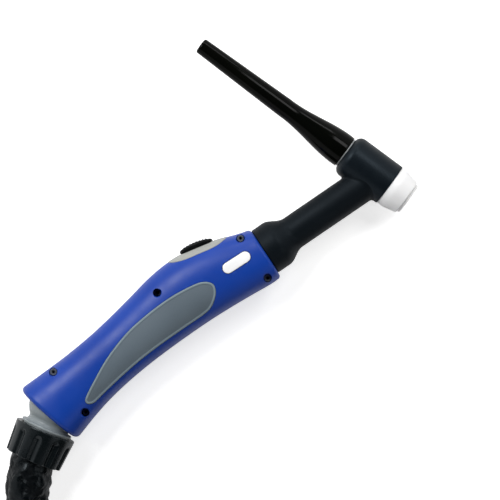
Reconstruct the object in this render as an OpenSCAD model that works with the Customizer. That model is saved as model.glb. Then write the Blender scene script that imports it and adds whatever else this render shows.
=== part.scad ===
// TIG torch with a 70 degree head, a long back cap, a two-shell handle with a
// switch, a ball joint and a hose in a leather cover.
//
// Row frame: origin at the mouth of the collet-body thread, +X out of the mouth
// along the head's axis, +Z up and square to the plane that holds head, neck and
// handle. The torch lies on its side, so the handle's split is the plane z = 0.

/* [Head] */
// Angle between the head's axis and the neck's axis, in degrees
head_angle = 70.8; // [60:0.1:100]
// Radius of the rubber round the head
head_r = 13.75; // [13:0.05:16.5]
// How far the rubber stands in front of the thread's mouth
head_front = 3; // [2:0.1:6]
// How far the rubber reaches behind the thread's mouth
head_back = 30.5; // [28:0.5:37]
// Rounding of the rubber's rear edge
head_round = 5; // [1:0.5:6]
// Distance from the thread's mouth back to the neck's axis
neck_back = 7; // [5:0.5:10]
// Radius of the collet-body thread
collet_thread_r = 4.6; // [3.5:0.1:5.5]
// Depth of the collet-body thread
collet_thread_l = 9; // [6:0.5:12]
// Radius of the back cap's thread
cap_thread_r = 6.6; // [5.5:0.1:7.5]
// Length of the back cap's thread
cap_thread_l = 9; // [6:0.5:11]
// Length of the white insulator
insulator_l = 14.8; // [10:0.1:20]
// Radius of the insulator's front edge
insulator_front_r = 10.2; // [9.5:0.1:12.5]

/* [Back cap] */
// Length of the cap behind its sealing ring
cap_l = 111.4; // [60:0.1:140]
// Radius of the cap at its foot
cap_foot_r = 10.5; // [9.5:0.1:12]
// Radius of the cap where its foot has run out into the shank
cap_shank_r = 6.3; // [5.5:0.1:8]
// Radius of the cap at its tip
cap_tip_r = 5.05; // [4:0.05:5.5]
// Length of the foot's sweep into the shank
cap_sweep_l = 42; // [20:1:50]
// Radius of the hole for the electrode's tail
cap_bore_r = 2.6; // [1.5:0.1:3.2]
// Thickness of the ring that seals the cap
seal_t = 0.9; // [0.6:0.1:1.5]

/* [Neck] */
// Length from the head's axis to the handle's front face
neck_l = 83.6; // [60:0.1:120]
// Radius of the neck's rubber
neck_r = 10.6; // [9.8:0.1:12.5]
// Radius of the bulb in front of the handle
bulb_r = 15.4; // [13.5:0.1:16]
// Length of the bulb with its cone
bulb_l = 20.4; // [16:0.2:30]
// Radius of the brass tube in the neck
tube_r = 5; // [4:0.1:5.5]

/* [Handle] */
// Length of the handle along its middle
handle_l = 165.2; // [150:0.1:200]
// Greatest height of the handle, in the plane of the torch
handle_h = 44.6; // [42:0.1:54]
// Greatest width of the handle, across the split
handle_w = 40.6; // [39:0.1:49]
// Wall of the two shells
wall = 2.6; // [2:0.1:3.2]
// Rounding of the front rim
front_rim = 1.6; // [0.8:0.1:2.4]
// Rounding of the rear rim
rear_rim = 3.2; // [1.5:0.1:3.6]
// Radius of the recesses over the screws
recess_r = 2.3; // [2:0.1:2.8]
// Radius of the screws' shanks
screw_r = 1.4; // [1:0.1:1.6]
// Depth of the pockets for the grip inlays
inlay_t = 1.5; // [1:0.1:1.8]
// Length of the oblong badge
badge_l = 20; // [12:0.5:22]
// Height of the oblong badge
badge_h = 7.6; // [5:0.2:9]

/* [Switch] */
// Length of the switch housing
module_l = 40; // [34:0.5:44]
// Width of the switch housing
module_w = 26; // [20:0.5:28]
// Length of the button
button_l = 21.8; // [16:0.2:26]
// Width of the button
button_w = 12; // [9:0.5:14]
// Height of the button over its seat
button_h = 3.2; // [2.4:0.1:4]
// Travel of the button
button_travel = 1.2; // [0.6:0.1:1.6]

/* [Ball joint and collar] */
// Radius of the ball
ball_r = 17; // [16.4:0.1:17.6]
// How far the ball's centre lies inside the handle's rear face
ball_inside = 4.8; // [4:0.1:6]
// Tilt of the ball against the handle's rear face at rest, in degrees
ball_tilt = 16.6; // [0:0.1:20]
// Radius of the ball's flange
flange_r = 16.3; // [15.5:0.1:17.5]
// Length of the collar nut
collar_l = 19.8; // [16:0.1:26]
// Radius of the collar nut at the ball
collar_r = 19.3; // [18.6:0.1:22]
// Radius of the collar nut at the hose
collar_end_r = 17.9; // [17.2:0.1:20]
// Number of grip flutes round the collar
collar_flutes = 10; // [6:1:14]

/* [Hose] */
// Diameter of the hose in its cover
hose_d = 27.3; // [22:0.1:28]
// Radius of the coil's outer turn, at the hose's middle
coil_r = 163; // [150:1:200]
// Number of turns in the coil
coil_turns = 4.4; // [3.4:1:5.4]

/* [Machine plug] */
// Radius of the plug's union nut
plug_nut_r = 24; // [20:0.5:28]
// Length of the plug's housing
plug_l = 44; // [30:1:60]
// Radius of the plug's contact pin
pin_r = 5; // [4:0.1:6]
// Length of the plug's contact pin
pin_l = 18; // [12:0.5:24]

/* [Fits] */
// Gap round a part that turns or slides in another body
play = 0.3; // [0.2:0.05:0.5]
// Gap round a part that is fixed in its seat
fit = 0.1; // [0.05:0.05:0.2]
// Gap round a shaft in its bore
running = 0.05; // [0.02:0.01:0.09]

/* [Hidden] */
$fn = 64;

// Colours
BRASS = "#b8964a";
RUBBER = "#20262c";
BLACK = "#0d0f10";
BLUE = "#2742ad";
GREY = "#69757d";
WARM_GREY = "#989a98";
WHITE = "#f4f4f2";
STEEL = "#8d9196";
LEATHER = "#17191b";
SEAL = "#b9bcbc";

// Sizes that the head shares
brass_r = cap_thread_r + 1.4;
shoulder_r = brass_r + 1;
bore_wall_r = cap_thread_r + running;
seat_x = -head_back;
cap_x = seat_x - seal_t;
recess_seat_r = 9.4;

// The handle's sections from front to rear, at its stated length, height and width.
// Each is [top's distance behind the front face, top's height over the neck's axis,
// bottom's distance, bottom's height, half the width].
SECTIONS = [
    [0, 15.2, 0.8, -18.4, 16.8],
    [8, 18.6, 8, -18.8, 17.2],
    [21, 23, 21, -17.8, 17.8],
    [36, 26.8, 36, -16.8, 18.2],
    [52, 28.4, 52, -16.2, 18.4],
    [68, 27.2, 68, -16.2, 18.1],
    [85, 23.8, 84, -16.6, 17.6],
    [102, 20.6, 99, -17.4, 17.2],
    [119, 18, 115, -19, 17.3],
    [137, 16.3, 130, -21.4, 18],
    [154, 15.5, 144, -24.8, 19],
    [171.4, 15, 159, -29.4, 20.3],
];
long_k = handle_l / 165.2;
high_k = handle_h / 44.6;
wide_k = handle_w / 40.6;
// A point of the handle's plane from [distance behind its front face, height over the neck's axis]
function on_handle(p) = [-neck_l - p[0] * long_k, p[1] * high_k];
last = len(SECTIONS) - 1;
roundness = 2.4;
around = 24;
steps = 3;

// A smooth curve through rows a, b, c, d, at share t of the way from b to c
function through(a, b, c, d, t) =
    0.5 * (2 * b + (c - a) * t + (2 * a - 5 * b + 4 * c - d) * t ^ 2 + (3 * b - 3 * c + d - a) * t ^ 3);
function row(i) =
    i < 0 ? 2 * SECTIONS[0] - SECTIONS[1]
    : i > last ? 2 * SECTIONS[last] - SECTIONS[last - 1]
    : SECTIONS[i];
function section(u) =
    let (i = min(floor(u), last - 1))
    through(row(i - 1), row(i), row(i + 1), row(i + 2), u - i);
function top_of(u) = let (s = section(u)) [-neck_l - s[0] * long_k, s[1] * high_k];
function bottom_of(u) = let (s = section(u)) [-neck_l - s[2] * long_k, s[3] * high_k];
function half_width(u) = section(u)[4] * wide_k;
function middle_of(u) = (top_of(u) + bottom_of(u)) / 2;
function turn_of(u) = let (d = top_of(u) - bottom_of(u)) atan2(-d[0], d[1]);

// A ring of points round the handle at u, drawn in by inset and moved by shift towards the head
function swell(v) = sign(v) * abs(v) ^ (2 / roundness);
function half_height(u) = norm(top_of(u) - bottom_of(u)) / 2;
function ring(u, inset, shift) =
    let (m = middle_of(u), a = turn_of(u), h = half_height(u) - inset, w = half_width(u) - inset)
    [for (k = [0:around - 1])
        let (y = h * swell(cos(360 * k / around)), z = w * swell(sin(360 * k / around)))
        [m[0] + shift * cos(a) - y * sin(a), m[1] + shift * sin(a) + y * cos(a), z]];

// Faces of a tube of rings with n points each, closed at both ends
function skin_faces(rings, n) = concat(
    [for (i = [0:rings - 2], k = [0:n - 1]) [i * n + k, i * n + (k + 1) % n, (i + 1) * n + k]],
    [for (i = [0:rings - 2], k = [0:n - 1])
        [i * n + (k + 1) % n, (i + 1) * n + (k + 1) % n, (i + 1) * n + k]],
    [for (k = [1:n - 2]) [0, k + 1, k]],
    [for (k = [1:n - 2]) [(rings - 1) * n, (rings - 1) * n + k, (rings - 1) * n + k + 1]]);
module skin(rings) {
    n = len(rings[0]);
    points = [for (r = rings, p = r) p];
    polyhedron(points, skin_faces(len(rings), n), convexity = 6);
}

// The handle's outside from section a to section b, drawn in by inset
module handle_form(inset, a = 0, b = last) {
    skin([for (u = [a:1 / steps:b + 0.01]) ring(u, inset, 0)]);
}
// The handle's whole outside with its rounded rims
module handle_body() {
    rim_front = [for (t = [0:30:60]) ring(0, front_rim * (1 - sin(t)), -front_rim * (1 - cos(t)))];
    rim_rear = [for (t = [60:-30:0]) ring(last, rear_rim * (1 - sin(t)), rear_rim * (1 - cos(t)))];
    middle = [for (u = [1 / steps:1 / steps:last - 1 / steps + 0.01]) ring(u, 0, 0)];
    skin(concat(rim_front, middle, rim_rear));
}

// Places. Everything behind the head is drawn with +X along the neck, towards the head.
module along_neck() {
    translate([-neck_back, 0, 0]) rotate(head_angle) children();
}
rear_turn = turn_of(last);
ball_at = middle_of(last) + ball_inside * [cos(rear_turn), sin(rear_turn)];
hose_turn = rear_turn + 180 + ball_tilt;
// +X along the ball's own axis, towards the hose
module at_ball() {
    along_neck() translate([ball_at[0], ball_at[1], 0]) rotate(hose_turn) children();
}
// A profile of [along, radius] points turned round the X axis
module turned(profile) {
    rotate([0, 90, 0]) rotate_extrude() polygon([for (p = profile) [p[1], p[0]]]);
}
// A round bar along X from a to b
module bar(a, b, r) {
    translate([a, 0, 0]) rotate([0, 90, 0]) cylinder(h = b - a, r = r);
}
// A round bar along Z from a to b, standing on the point at
module post(at, a, b, r) {
    translate([at[0], at[1], a]) cylinder(h = b - a, r = r);
}
// A quarter turn from [x, r] that starts along X and ends square to it
function quarter(x, r, dx, dr, n = 6) =
    [for (k = [0:n]) [x + dx * sin(90 * k / n), r - dr * (1 - cos(90 * k / n))]];

// ---------------------------------------------------------------- head
module head_body() {
    color(BRASS) difference() {
        union() {
            bar(-head_back, 0, brass_r);
            bar(-head_back + 1, -head_back + cap_thread_l + 2, shoulder_r);
            along_neck() bar(-head_r, 0, brass_r - 1);
        }
        bar(-collet_thread_l, 1, collet_thread_r);
        bar(-head_back, 0, 3);
        bar(-head_back - 1, -head_back + cap_thread_l + 1, bore_wall_r);
        along_neck() bar(-head_r - 1, 0, 2);
        along_neck() bar(-head_r - 1, -head_r + 5, tube_r + fit);
    }
}

tube_end = -neck_l - 14;
module neck_tube() {
    color(BRASS) along_neck() difference() {
        union() {
            bar(tube_end, -head_r + 5 - fit, tube_r);
            translate([tube_end + 1.5, 0, 0]) rotate([0, 90, 0]) cylinder(h = 4, r = 7, $fn = 6);
        }
        bar(tube_end - 1, 0, 3);
    }
}

// The groove in the rubber that the handle's front wall grips, with its lip behind it
groove_r = 9.4;
groove_w = 4;
lip_r = 11.6;
bulb_face = -neck_l + 0.4;
groove_from = bulb_face - groove_w;
// The rubber round the neck, from the head's axis back to the lip behind the handle's front wall
module neck_rubber() {
    cone = bulb_l * 0.62;
    start = bulb_face + bulb_l;
    rise = bulb_r - neck_r;
    climb = [for (k = [0:8]) [start - cone * k / 8, neck_r + rise * (1 - cos(22.5 * k)) / 2]];
    turned(concat(
        [[0, 0], [0, neck_r]], climb,
        [[bulb_face + 0.8, bulb_r - 0.1], [bulb_face, bulb_r - 0.8], [bulb_face, groove_r],
         [groove_from, groove_r], [groove_from, lip_r], [groove_from - 1.2, lip_r],
         [groove_from - 1.8, tube_r + 2], [groove_from - 1.8, 0]]));
}
module head_cover() {
    color(RUBBER) difference() {
        union() {
            turned(concat(
                [[head_front, 0], [head_front, head_r - 0.4], [head_front - 0.4, head_r]],
                quarter(-head_back + head_round, head_r, -head_round, head_round),
                [[-head_back, 0]]));
            along_neck() neck_rubber();
        }
        bar(-head_back - 1, fit, brass_r + fit);
        bar(-head_back + 1 - fit, -head_back + cap_thread_l + 2 + fit, shoulder_r + fit);
        bar(-head_back - 1, -head_back + 1.1, brass_r);
        along_neck() bar(-head_r - fit, 0, brass_r - 1 + fit);
        along_neck() bar(-neck_l - 10, -head_r, tube_r + fit);
        bar(0, head_front + 1, recess_seat_r + fit);
    }
}

module insulator() {
    front = head_front + insulator_l;
    color(WHITE) difference() {
        turned(concat(
            [[fit, 0], [fit, recess_seat_r], [head_front, recess_seat_r], [head_front, head_r - 0.55],
             [head_front + 3, head_r - 0.45]],
            [for (k = [1:7]) [head_front + 3 + (insulator_l - 3.6) * sin(90 * k / 7),
                head_r - 0.45 - (head_r - 0.45 - insulator_front_r) * (1 - cos(90 * k / 7))]],
            [[front, insulator_front_r - 0.7], [front, 0]]));
        bar(0, front + 1, collet_thread_r + 0.6);
        bar(front - 6, front + 1, 7.6);
    }
}

module cap_seal() {
    r_in = cap_thread_r + play;
    r_out = head_r - head_round + 1;
    edge = seal_t / 2;
    color(SEAL) translate([cap_x, 0, 0]) turned(concat(
        [[0, r_in], [0, r_out - edge]],
        [for (t = [30:30:150]) [edge - edge * cos(t), r_out - edge + edge * sin(t)]],
        [[seal_t, r_out - edge], [seal_t, r_in]]));
}

module back_cap() {
    tip = cap_x - cap_l;
    sweep = [for (k = [0:10]) [cap_x - 5 - cap_sweep_l * k / 10,
        cap_shank_r + (cap_foot_r - cap_shank_r) * (cos(18 * k) + 1) / 2 - 0.35 * sin(18 * k)]];
    color(BLACK) difference() {
        union() {
            turned(concat(
                [[cap_x, 0], [cap_x, cap_foot_r - 0.6], [cap_x - 0.6, cap_foot_r - 0.1],
                 [cap_x - 2.4, cap_foot_r]],
                sweep,
                quarter(tip + 1.6, cap_tip_r, -1.6, 1.6, 4),
                [[tip, 0]]));
            bar(cap_x - 1, cap_x + seal_t + cap_thread_l, cap_thread_r);
        }
        bar(tip + 4, cap_x + seal_t + cap_thread_l + 1, cap_bore_r);
    }
}

// ---------------------------------------------------------------- handle
// Screws as [share of the way along the sections, distance in from the top (+) or bottom (-)]
SCREWS = [[1, 3.2], [1, -4.4], [5.07, 10.4], [9.8, 3.3], [10.1, -6]];
function screw_at(s) =
    let (edge = s[1] > 0 ? top_of(s[0]) : bottom_of(s[0]), a = turn_of(s[0]))
    clear_of_ball([edge[0] + s[1] * sin(a), edge[1] - s[1] * cos(a)]);
// A screw keeps a wall between itself and the ball's socket
function clear_of_ball(p) =
    let (away = norm(p - ball_at), least = ball_r + play + screw_r + 0.4)
    away < least ? ball_at + (p - ball_at) * least / away : p;
screw_seat = 6;
thread_grip = 0.15;
boss_r = recess_r + 1.2;

// Where the power cable and the switch lead run, from the fitting to the ball
cable_r = 5.5;
lead_r = 1.6;
bush_r = 8.4;
ferrule_end = -neck_l - 42;
toward = [cos(rear_turn), sin(rear_turn)];
bush_l = 8;
// Ribs across the hollow as [distance behind the front face, the cable's height, the lead's]
RIBS = [[66, 0.6, 9.2], [112, 2, 9.6]];
// A point behind the handle's front face that keeps its own height over the neck's axis
function along_handle(p) = [-neck_l - p[0] * long_k, p[1]];
CABLE_ROUTE = [[63, 0.6], [69, 0.6], [91, 1.6], [109, 2], [115, 2], [128, 1.6]];
cable_route = concat(
    [[ferrule_end, 0], [ferrule_end - 6, 0]],
    [for (p = CABLE_ROUTE) along_handle(p)],
    [for (d = [ball_r + bush_l, ball_r, 8, 0]) ball_at + d * toward]);

// A pipe of round rings along a list of points in the plane of the torch
function heading(path, i) =
    let (d = path[min(i + 1, len(path) - 1)] - path[max(i - 1, 0)]) d / norm(d);
function pipe_ring(at, dir, r, n) =
    let (level = norm([dir[0], dir[1]]),
         side = level > 0.001 ? [-dir[1], dir[0], 0] / level : [1, 0, 0],
         up = cross(dir, side))
    [for (k = [0:n - 1]) at - r * (sin(360 * k / n) * side + cos(360 * k / n) * up)];
function flat(path) = [for (p = path) [p[0], p[1], len(p) > 2 ? p[2] : 0]];
module pipe(path, r, n) {
    line = flat(path);
    skin([for (i = [0:len(line) - 1]) pipe_ring(line[i], heading(line, i), r, n)]);
}

// What is taken out of the two shells: the hollow less its bosses and ribs, the neck's
// hole with room for the rubber's lip, and the ball's socket
cavity_from = 0.4;
cavity_to = 9.3;
module hollow() {
    difference() {
        skin([for (u = [cavity_from:0.46:cavity_to + 0.01]) ring(u, wall, 0)]);
        for (s = SCREWS) post(screw_at(s), -handle_w, handle_w, boss_r);
        for (rib = RIBS) difference() {
            translate([along_handle(rib)[0] - 1, -handle_h, -handle_w])
                cube([2, 2 * handle_h, 2 * handle_w]);
            translate(along_handle([rib[0], rib[1]])) bar(-2, 2, cable_r + play);
            translate(along_handle([rib[0], rib[2]])) bar(-2, 2, lead_r + play);
        }
    }
    bar(-neck_l - 8, -neck_l + 1, groove_r + play);
    bar(groove_from - 3, groove_from + play, lip_r + play);
    translate([ball_at[0], ball_at[1], 0]) rotate(rear_turn) {
        rotate([0, 90, 0]) sphere(r = ball_r + play);
        bar(ball_r - 2, ball_r + 10 + bush_l, bush_r);
    }
}

// The crescent of the grip inlays, as a closed curve through [distance behind the front face, height]
CRESCENT = [
    [141, -12], [129, -1.6], [110, 5], [88, 9.4], [66, 10.5], [49, 9], [39.5, 5],
    [37.4, -1], [41, -6.2], [48, -9.7], [57, -10.5], [72, -10.4], [90, -11.6],
    [109, -13.9], [126, -17], [137, -18.6], [141.5, -16.6],
];
function crescent_point(i) = on_handle(CRESCENT[(i + len(CRESCENT)) % len(CRESCENT)]);
module crescent(gap) {
    curve = [for (i = [0:len(CRESCENT) - 1], t = [0, 0.5])
        through(crescent_point(i - 1), crescent_point(i), crescent_point(i + 1),
            crescent_point(i + 2), t)];
    offset(delta = -gap) polygon(curve);
}
module badge_outline(gap) {
    r = badge_h / 2 - gap;
    for (s = [-1, 1]) translate([s * (badge_l - badge_h) / 2, 0]) circle(r);
    square([badge_l - badge_h, 2 * r], center = true);
}
badge_at = on_handle([18.4, 4.4]);
badge_deep = 0.7;
module badge_place() {
    translate([badge_at[0], badge_at[1], 5]) rotate(-1.5) linear_extrude(handle_w) children();
}
// A pocket over the handle's side, down to depth
module inlay_pocket() {
    difference() {
        translate([0, 0, 5]) linear_extrude(handle_w) crescent(0);
        handle_form(inlay_t, 1.8, 10.4);
    }
}
module badge_pocket() {
    difference() {
        badge_place() badge_outline(0);
        handle_form(badge_deep, 0.5, 3.5);
    }
}

// The switch housing's outline from above, in the switch's own frame
switch_at = on_handle([33.7, 26.1]);
switch_turn = -12;
module at_switch() {
    translate([switch_at[0], switch_at[1], 0]) rotate(switch_turn) children();
}
// A long oval with blunt ends along X and Z, standing along Y from a to b
function blunt(v) = sign(v) * abs(v) ^ 0.7;
module lens(a, b, gap) {
    rotate([-90, 0, 0]) translate([0, 0, a]) linear_extrude(b - a) polygon([for (t = [0:9:351])
        [(module_l / 2 - gap) * blunt(cos(t)), (module_w / 2 - gap) * blunt(sin(t))]]);
}
housing_floor = -11;

module shell(side) {
    intersection() {
        difference() {
            handle_body();
            hollow();
            at_switch() lens(housing_floor, 20, 0);
            for (s = SCREWS)
                post(screw_at(s), side > 0 ? -1 : -screw_seat, side > 0 ? screw_seat + 1 : 1,
                    screw_r + side * thread_grip);
            children();
        }
        translate([-neck_l - 2 * handle_l, -handle_l, side > 0 ? 0 : -handle_w])
            cube([2 * handle_l + 10, 2 * handle_l, handle_w]);
    }
}
module shell_right() {
    color(BLUE) along_neck() shell(1) {
        for (s = SCREWS) post(screw_at(s), screw_seat, handle_w, recess_r);
        inlay_pocket();
        badge_pocket();
    }
}
module shell_left() {
    color(BLUE) along_neck() shell(-1) {
        mirror([0, 0, 1]) inlay_pocket();
    }
}
module inlay() {
    intersection() {
        difference() {
            handle_form(0, 2, 10);
            handle_form(inlay_t, 1.8, 10.4);
        }
        translate([0, 0, 5]) linear_extrude(handle_w) crescent(fit);
    }
}
module inlay_right() {
    color(GREY) along_neck() inlay();
}
module inlay_left() {
    color(GREY) along_neck() mirror([0, 0, 1]) inlay();
}
module badge() {
    color(WHITE) along_neck() intersection() {
        difference() {
            handle_form(-0.3, 0.8, 3);
            handle_form(badge_deep, 0.5, 3.5);
        }
        badge_place() badge_outline(fit);
    }
}
module handle_screws() {
    color(STEEL) along_neck() for (s = SCREWS) difference() {
        union() {
            post(screw_at(s), -screw_seat + 1, screw_seat, screw_r);
            post(screw_at(s), screw_seat, screw_seat + 2.4, recess_r - 0.2);
        }
        translate([0, 0, screw_seat + 1.2]) linear_extrude(2) translate(screw_at(s)) circle(1.1, $fn = 6);
    }
}

// ---------------------------------------------------------------- switch
switch_box = [12.8, 6.4, 6];
switch_top = -3.8;
plunger_h = button_travel + play;
module button_outline(gap) {
    r = button_w / 2 + gap;
    for (s = [-1, 1]) translate([s * (button_l / 2 - button_w / 2), 0]) circle(r);
    square([button_l - button_w, 2 * r], center = true);
}
module upright(a, b) {
    rotate([-90, 0, 0]) translate([0, 0, a]) linear_extrude(b - a) children();
}
module switch_housing() {
    color(WARM_GREY) along_neck() difference() {
        intersection() {
            handle_form(0, 1, 5);
            at_switch() lens(housing_floor, 20, fit);
        }
        at_switch() upright(-2.6, 20) button_outline(play);
        at_switch() translate([-3.2, switch_top - 0.2, -3.2]) cube([6.4, 2, 6.4]);
        at_switch() translate([-switch_box[0] / 2 - fit, housing_floor - 1, -switch_box[2] / 2 - fit])
            cube([switch_box[0] + 2 * fit, switch_top - housing_floor + 1, switch_box[2] + 2 * fit]);
    }
}
button_foot = -2.6 + play;
module switch_button() {
    dome = (button_l ^ 2 / 4 + button_h ^ 2) / (2 * button_h);
    color(BLACK) along_neck() at_switch() {
        intersection() {
            upright(button_foot + button_travel, button_h + 1) button_outline(0);
            translate([0, button_h - dome, -button_w]) {
                cylinder(h = 2 * button_w, r = dome, $fn = 128);
                for (a = [-21:6:21]) translate([dome * sin(a), dome * cos(a), 0])
                    cylinder(h = 2 * button_w, r = 0.45, $fn = 16);
            }
        }
        upright(switch_top + plunger_h, button_foot + button_travel + 0.2) circle(2);
    }
}
module micro_switch() {
    color(BLACK) along_neck() at_switch() difference() {
        translate([-switch_box[0] / 2, switch_top - switch_box[1], -switch_box[2] / 2]) cube(switch_box);
        upright(switch_top - button_travel - 2, switch_top + 1) circle(1 + running);
        for (s = [-1, 1]) translate([s * 3.2, switch_top - 4.6, -4]) cylinder(h = 8, r = 1);
    }
}
module switch_plunger() {
    color(WARM_GREY) along_neck() at_switch() upright(switch_top - 1.6, switch_top + plunger_h) circle(1);
}

lead_start = switch_at + (switch_top - switch_box[1] - 0.1) * [-sin(switch_turn), cos(switch_turn)];
LEAD_ROUTE = [[41, 9.6], [50, 9.2], [63, 9.2], [69, 9.2], [91, 10], [109, 9.6], [115, 9.6], [125, 9.2]];
lead_drop = lead_start[1] - LEAD_ROUTE[0][1];
lead_route = concat(
    [lead_start, lead_start + [-0.4, -0.4 * lead_drop], lead_start + [-2, -0.75 * lead_drop]],
    [for (p = LEAD_ROUTE) along_handle(p)]);
module switch_lead() {
    color(BLACK) along_neck() pipe(lead_route, lead_r, 8);
}

// ---------------------------------------------------------------- cable in the handle
module cable_nut() {
    color(BRASS) along_neck() difference() {
        translate([tube_end - 11, 0, 0]) rotate([0, 90, 0]) cylinder(h = 11, r = 8, $fn = 6);
        bar(tube_end - 12, tube_end + 1, 3);
    }
}
module cable_ferrule() {
    color(BRASS) along_neck() difference() {
        union() {
            bar(ferrule_end, tube_end - 11, 6.6);
            for (x = [ferrule_end + 3:4:tube_end - 13]) bar(x, x + 2, 7);
        }
        bar(ferrule_end - 1, tube_end - 10, 3);
    }
}
module power_cable() {
    color(BLACK) along_neck() pipe(cable_route, cable_r, 16);
}
module cable_bush() {
    color(RUBBER) along_neck() translate([ball_at[0], ball_at[1], 0]) rotate(rear_turn) difference() {
        bar(ball_r, ball_r + bush_l, bush_r - fit);
        bar(ball_r - 1, ball_r + bush_l + 1, cable_r + fit);
    }
}

// ---------------------------------------------------------------- ball joint and collar
cover_r = hose_d / 2;
ball_cut = -0.53 * ball_r;
neck_from = 0.62 * ball_r;
waist_r = 0.745 * ball_r;
flange_at = 0.85 * ball_r;
thread_from = flange_at + 1.3;
thread_to = thread_from + 8;
spigot_end = thread_to + 2.3;
ball_thread_r = flange_r - 1.1;
spigot_r = cover_r - 1;
module ball_joint() {
    color(WARM_GREY) at_ball() difference() {
        union() {
            rotate([0, 90, 0]) intersection() {
                sphere(r = ball_r);
                translate([0, 0, ball_cut]) cylinder(h = neck_from - ball_cut, r = ball_r + 1);
            }
            turned([
                [0, 0], [neck_from - 1, waist_r + 0.4], [neck_from + 0.4, waist_r + 0.2],
                [neck_from + 1.6, waist_r], [flange_at - 0.8, waist_r + 0.6], [flange_at, waist_r + 1.7],
                [flange_at, flange_r - 0.4], [flange_at + 0.4, flange_r], [thread_from, flange_r],
                [thread_from, ball_thread_r], [thread_to, ball_thread_r], [thread_to, spigot_r],
                [spigot_end, spigot_r], [spigot_end, 0],
            ]);
        }
        turned([
            [ball_cut - 1, 0], [ball_cut - 1, 0.68 * ball_r], [0, cable_r + 1.1],
            [spigot_end + 1, spigot_r - 2.6], [spigot_end + 1, 0],
        ]);
    }
}
collar_from = thread_from + 0.9;
collar_to = collar_from + collar_l;
clamp_from = spigot_end - 1;
clamp_to = clamp_from + 7;
module clamp_ring() {
    color(BLACK) at_ball() difference() {
        bar(clamp_from, clamp_to, ball_thread_r - 0.2);
        bar(clamp_from - 1, clamp_to + 1, cover_r + play);
        translate([clamp_from - 1, -0.8, 0]) cube([clamp_to - clamp_from + 2, 1.6, 2 * cover_r]);
    }
}
module collar_nut() {
    flute_r = 3.3;
    taper = atan((collar_r - collar_end_r) / collar_l);
    color(BLACK) at_ball() difference() {
        turned([[collar_from, 0], [collar_from, collar_r - 1], [collar_from + 1, collar_r - 0.1],
            [collar_to - 0.8, collar_end_r], [collar_to, collar_end_r - 0.6], [collar_to, 0]]);
        bar(collar_from - 1, clamp_to + play, ball_thread_r + fit);
        bar(collar_from, collar_to + 1, cover_r + 1.3);
        for (k = [0:collar_flutes - 1]) rotate([(k + 0.5) * 360 / collar_flutes, 0, 0])
            translate([collar_from + 3.6 + flute_r, 0, collar_r + 1.9]) rotate([0, taper, 0]) {
                bar(0, collar_l, flute_r);
                sphere(r = flute_r);
            }
    }
}

// ---------------------------------------------------------------- hose
floor_z = -handle_w / 2;
hose_z = floor_z + cover_r;
layer = hose_d + 0.5;
pitch = hose_d + 0.7;
coil_at = [176, -344];
coil_from = 216.5;
coil_half = coil_turns * 180;
// A point of the coil after the angle t from its start
function coil_radius(t) = coil_r - pitch * (t < coil_half ? t : 2 * coil_half - t) / 360;
function coil_height(t) = layer * min(1, max(0, (t - coil_half + 90) / 180));
function coil_point(t) =
    [coil_at[0] + coil_radius(t) * cos(coil_from + t), coil_at[1] + coil_radius(t) * sin(coil_from + t),
     hose_z + coil_height(t)];
coil_span = 2 * coil_half;
coil_rings = round(coil_span / 15);
coil_step = coil_span / coil_rings;
in_dir = [-sin(coil_from), cos(coil_from), 0];
out_dir = [-sin(coil_from + coil_span), cos(coil_from + coil_span), 0];
coil_start = coil_point(0) - hose_d * in_dir;
coil_end = coil_point(coil_span) + hose_d * out_dir;
coil_path = concat([coil_start], [for (i = [0:coil_rings]) coil_point(i * coil_step)], [coil_end]);

// The hose's first points follow the ball's axis, and the rest are chosen by hand
function from_ball(along) =
    let (p = ball_at + along * [cos(hose_turn), sin(hose_turn)])
    [-neck_back + p[0] * cos(head_angle) - p[1] * sin(head_angle),
     p[0] * sin(head_angle) + p[1] * cos(head_angle), 0];
LEAD_POINTS = [
    [-71.6, -274.8, -0.2], [-68.6, -281.7, -0.6], [-64.6, -288.6, -1.2], [-59.5, -296, -1.9],
    [-44, -317.8, -3.6], [-22, -348.5, -5.2], [2, -382, -6.4],
];
hose_lead_path = concat(
    [from_ball(spigot_end + running), from_ball(collar_to)], LEAD_POINTS,
    [coil_start - 4 * in_dir, coil_start]);
TAIL_POINTS = [[338, -284, 15.5], [336, -254, 7.5], [333.4, -226, 3.7], [330.4, -198, 3.7]];
hose_tail_path = concat([coil_end, coil_end + 4 * out_dir], TAIL_POINTS);

module hose_lead() {
    color(LEATHER) pipe(hose_lead_path, cover_r, 12);
}
module hose_coil() {
    color(LEATHER) pipe(coil_path, cover_r, 6);
}
module hose_tail() {
    color(LEATHER) pipe(hose_tail_path, cover_r, 12);
}

// ---------------------------------------------------------------- machine plug
plug_from = hose_tail_path[len(hose_tail_path) - 1];
plug_dir = heading(hose_tail_path, len(hose_tail_path) - 1);
module at_plug() {
    translate(plug_from) rotate([0, -asin(plug_dir[2]), atan2(plug_dir[1], plug_dir[0])]) children();
}
boot_l = 40;
boot_rings = 5;
housing_r = 21;
housing_at = boot_l;
nut_at = boot_l + plug_l;
nut_l = 24;
swivel_r = 16;
swivel_l = 5;
contact_r = 14;
contact_l = 6;
contact_at = nut_at + swivel_l + 2;
pin_at = contact_at + contact_l;
pins_off = 9.5;
pins_r = 1.3;
seal_at = pin_at + 12;
// The seal's ring lies just under the pin's surface, as its socket presses it
seal_ring_r = 0.85;
seal_mid = pin_r - seal_ring_r - running;

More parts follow.
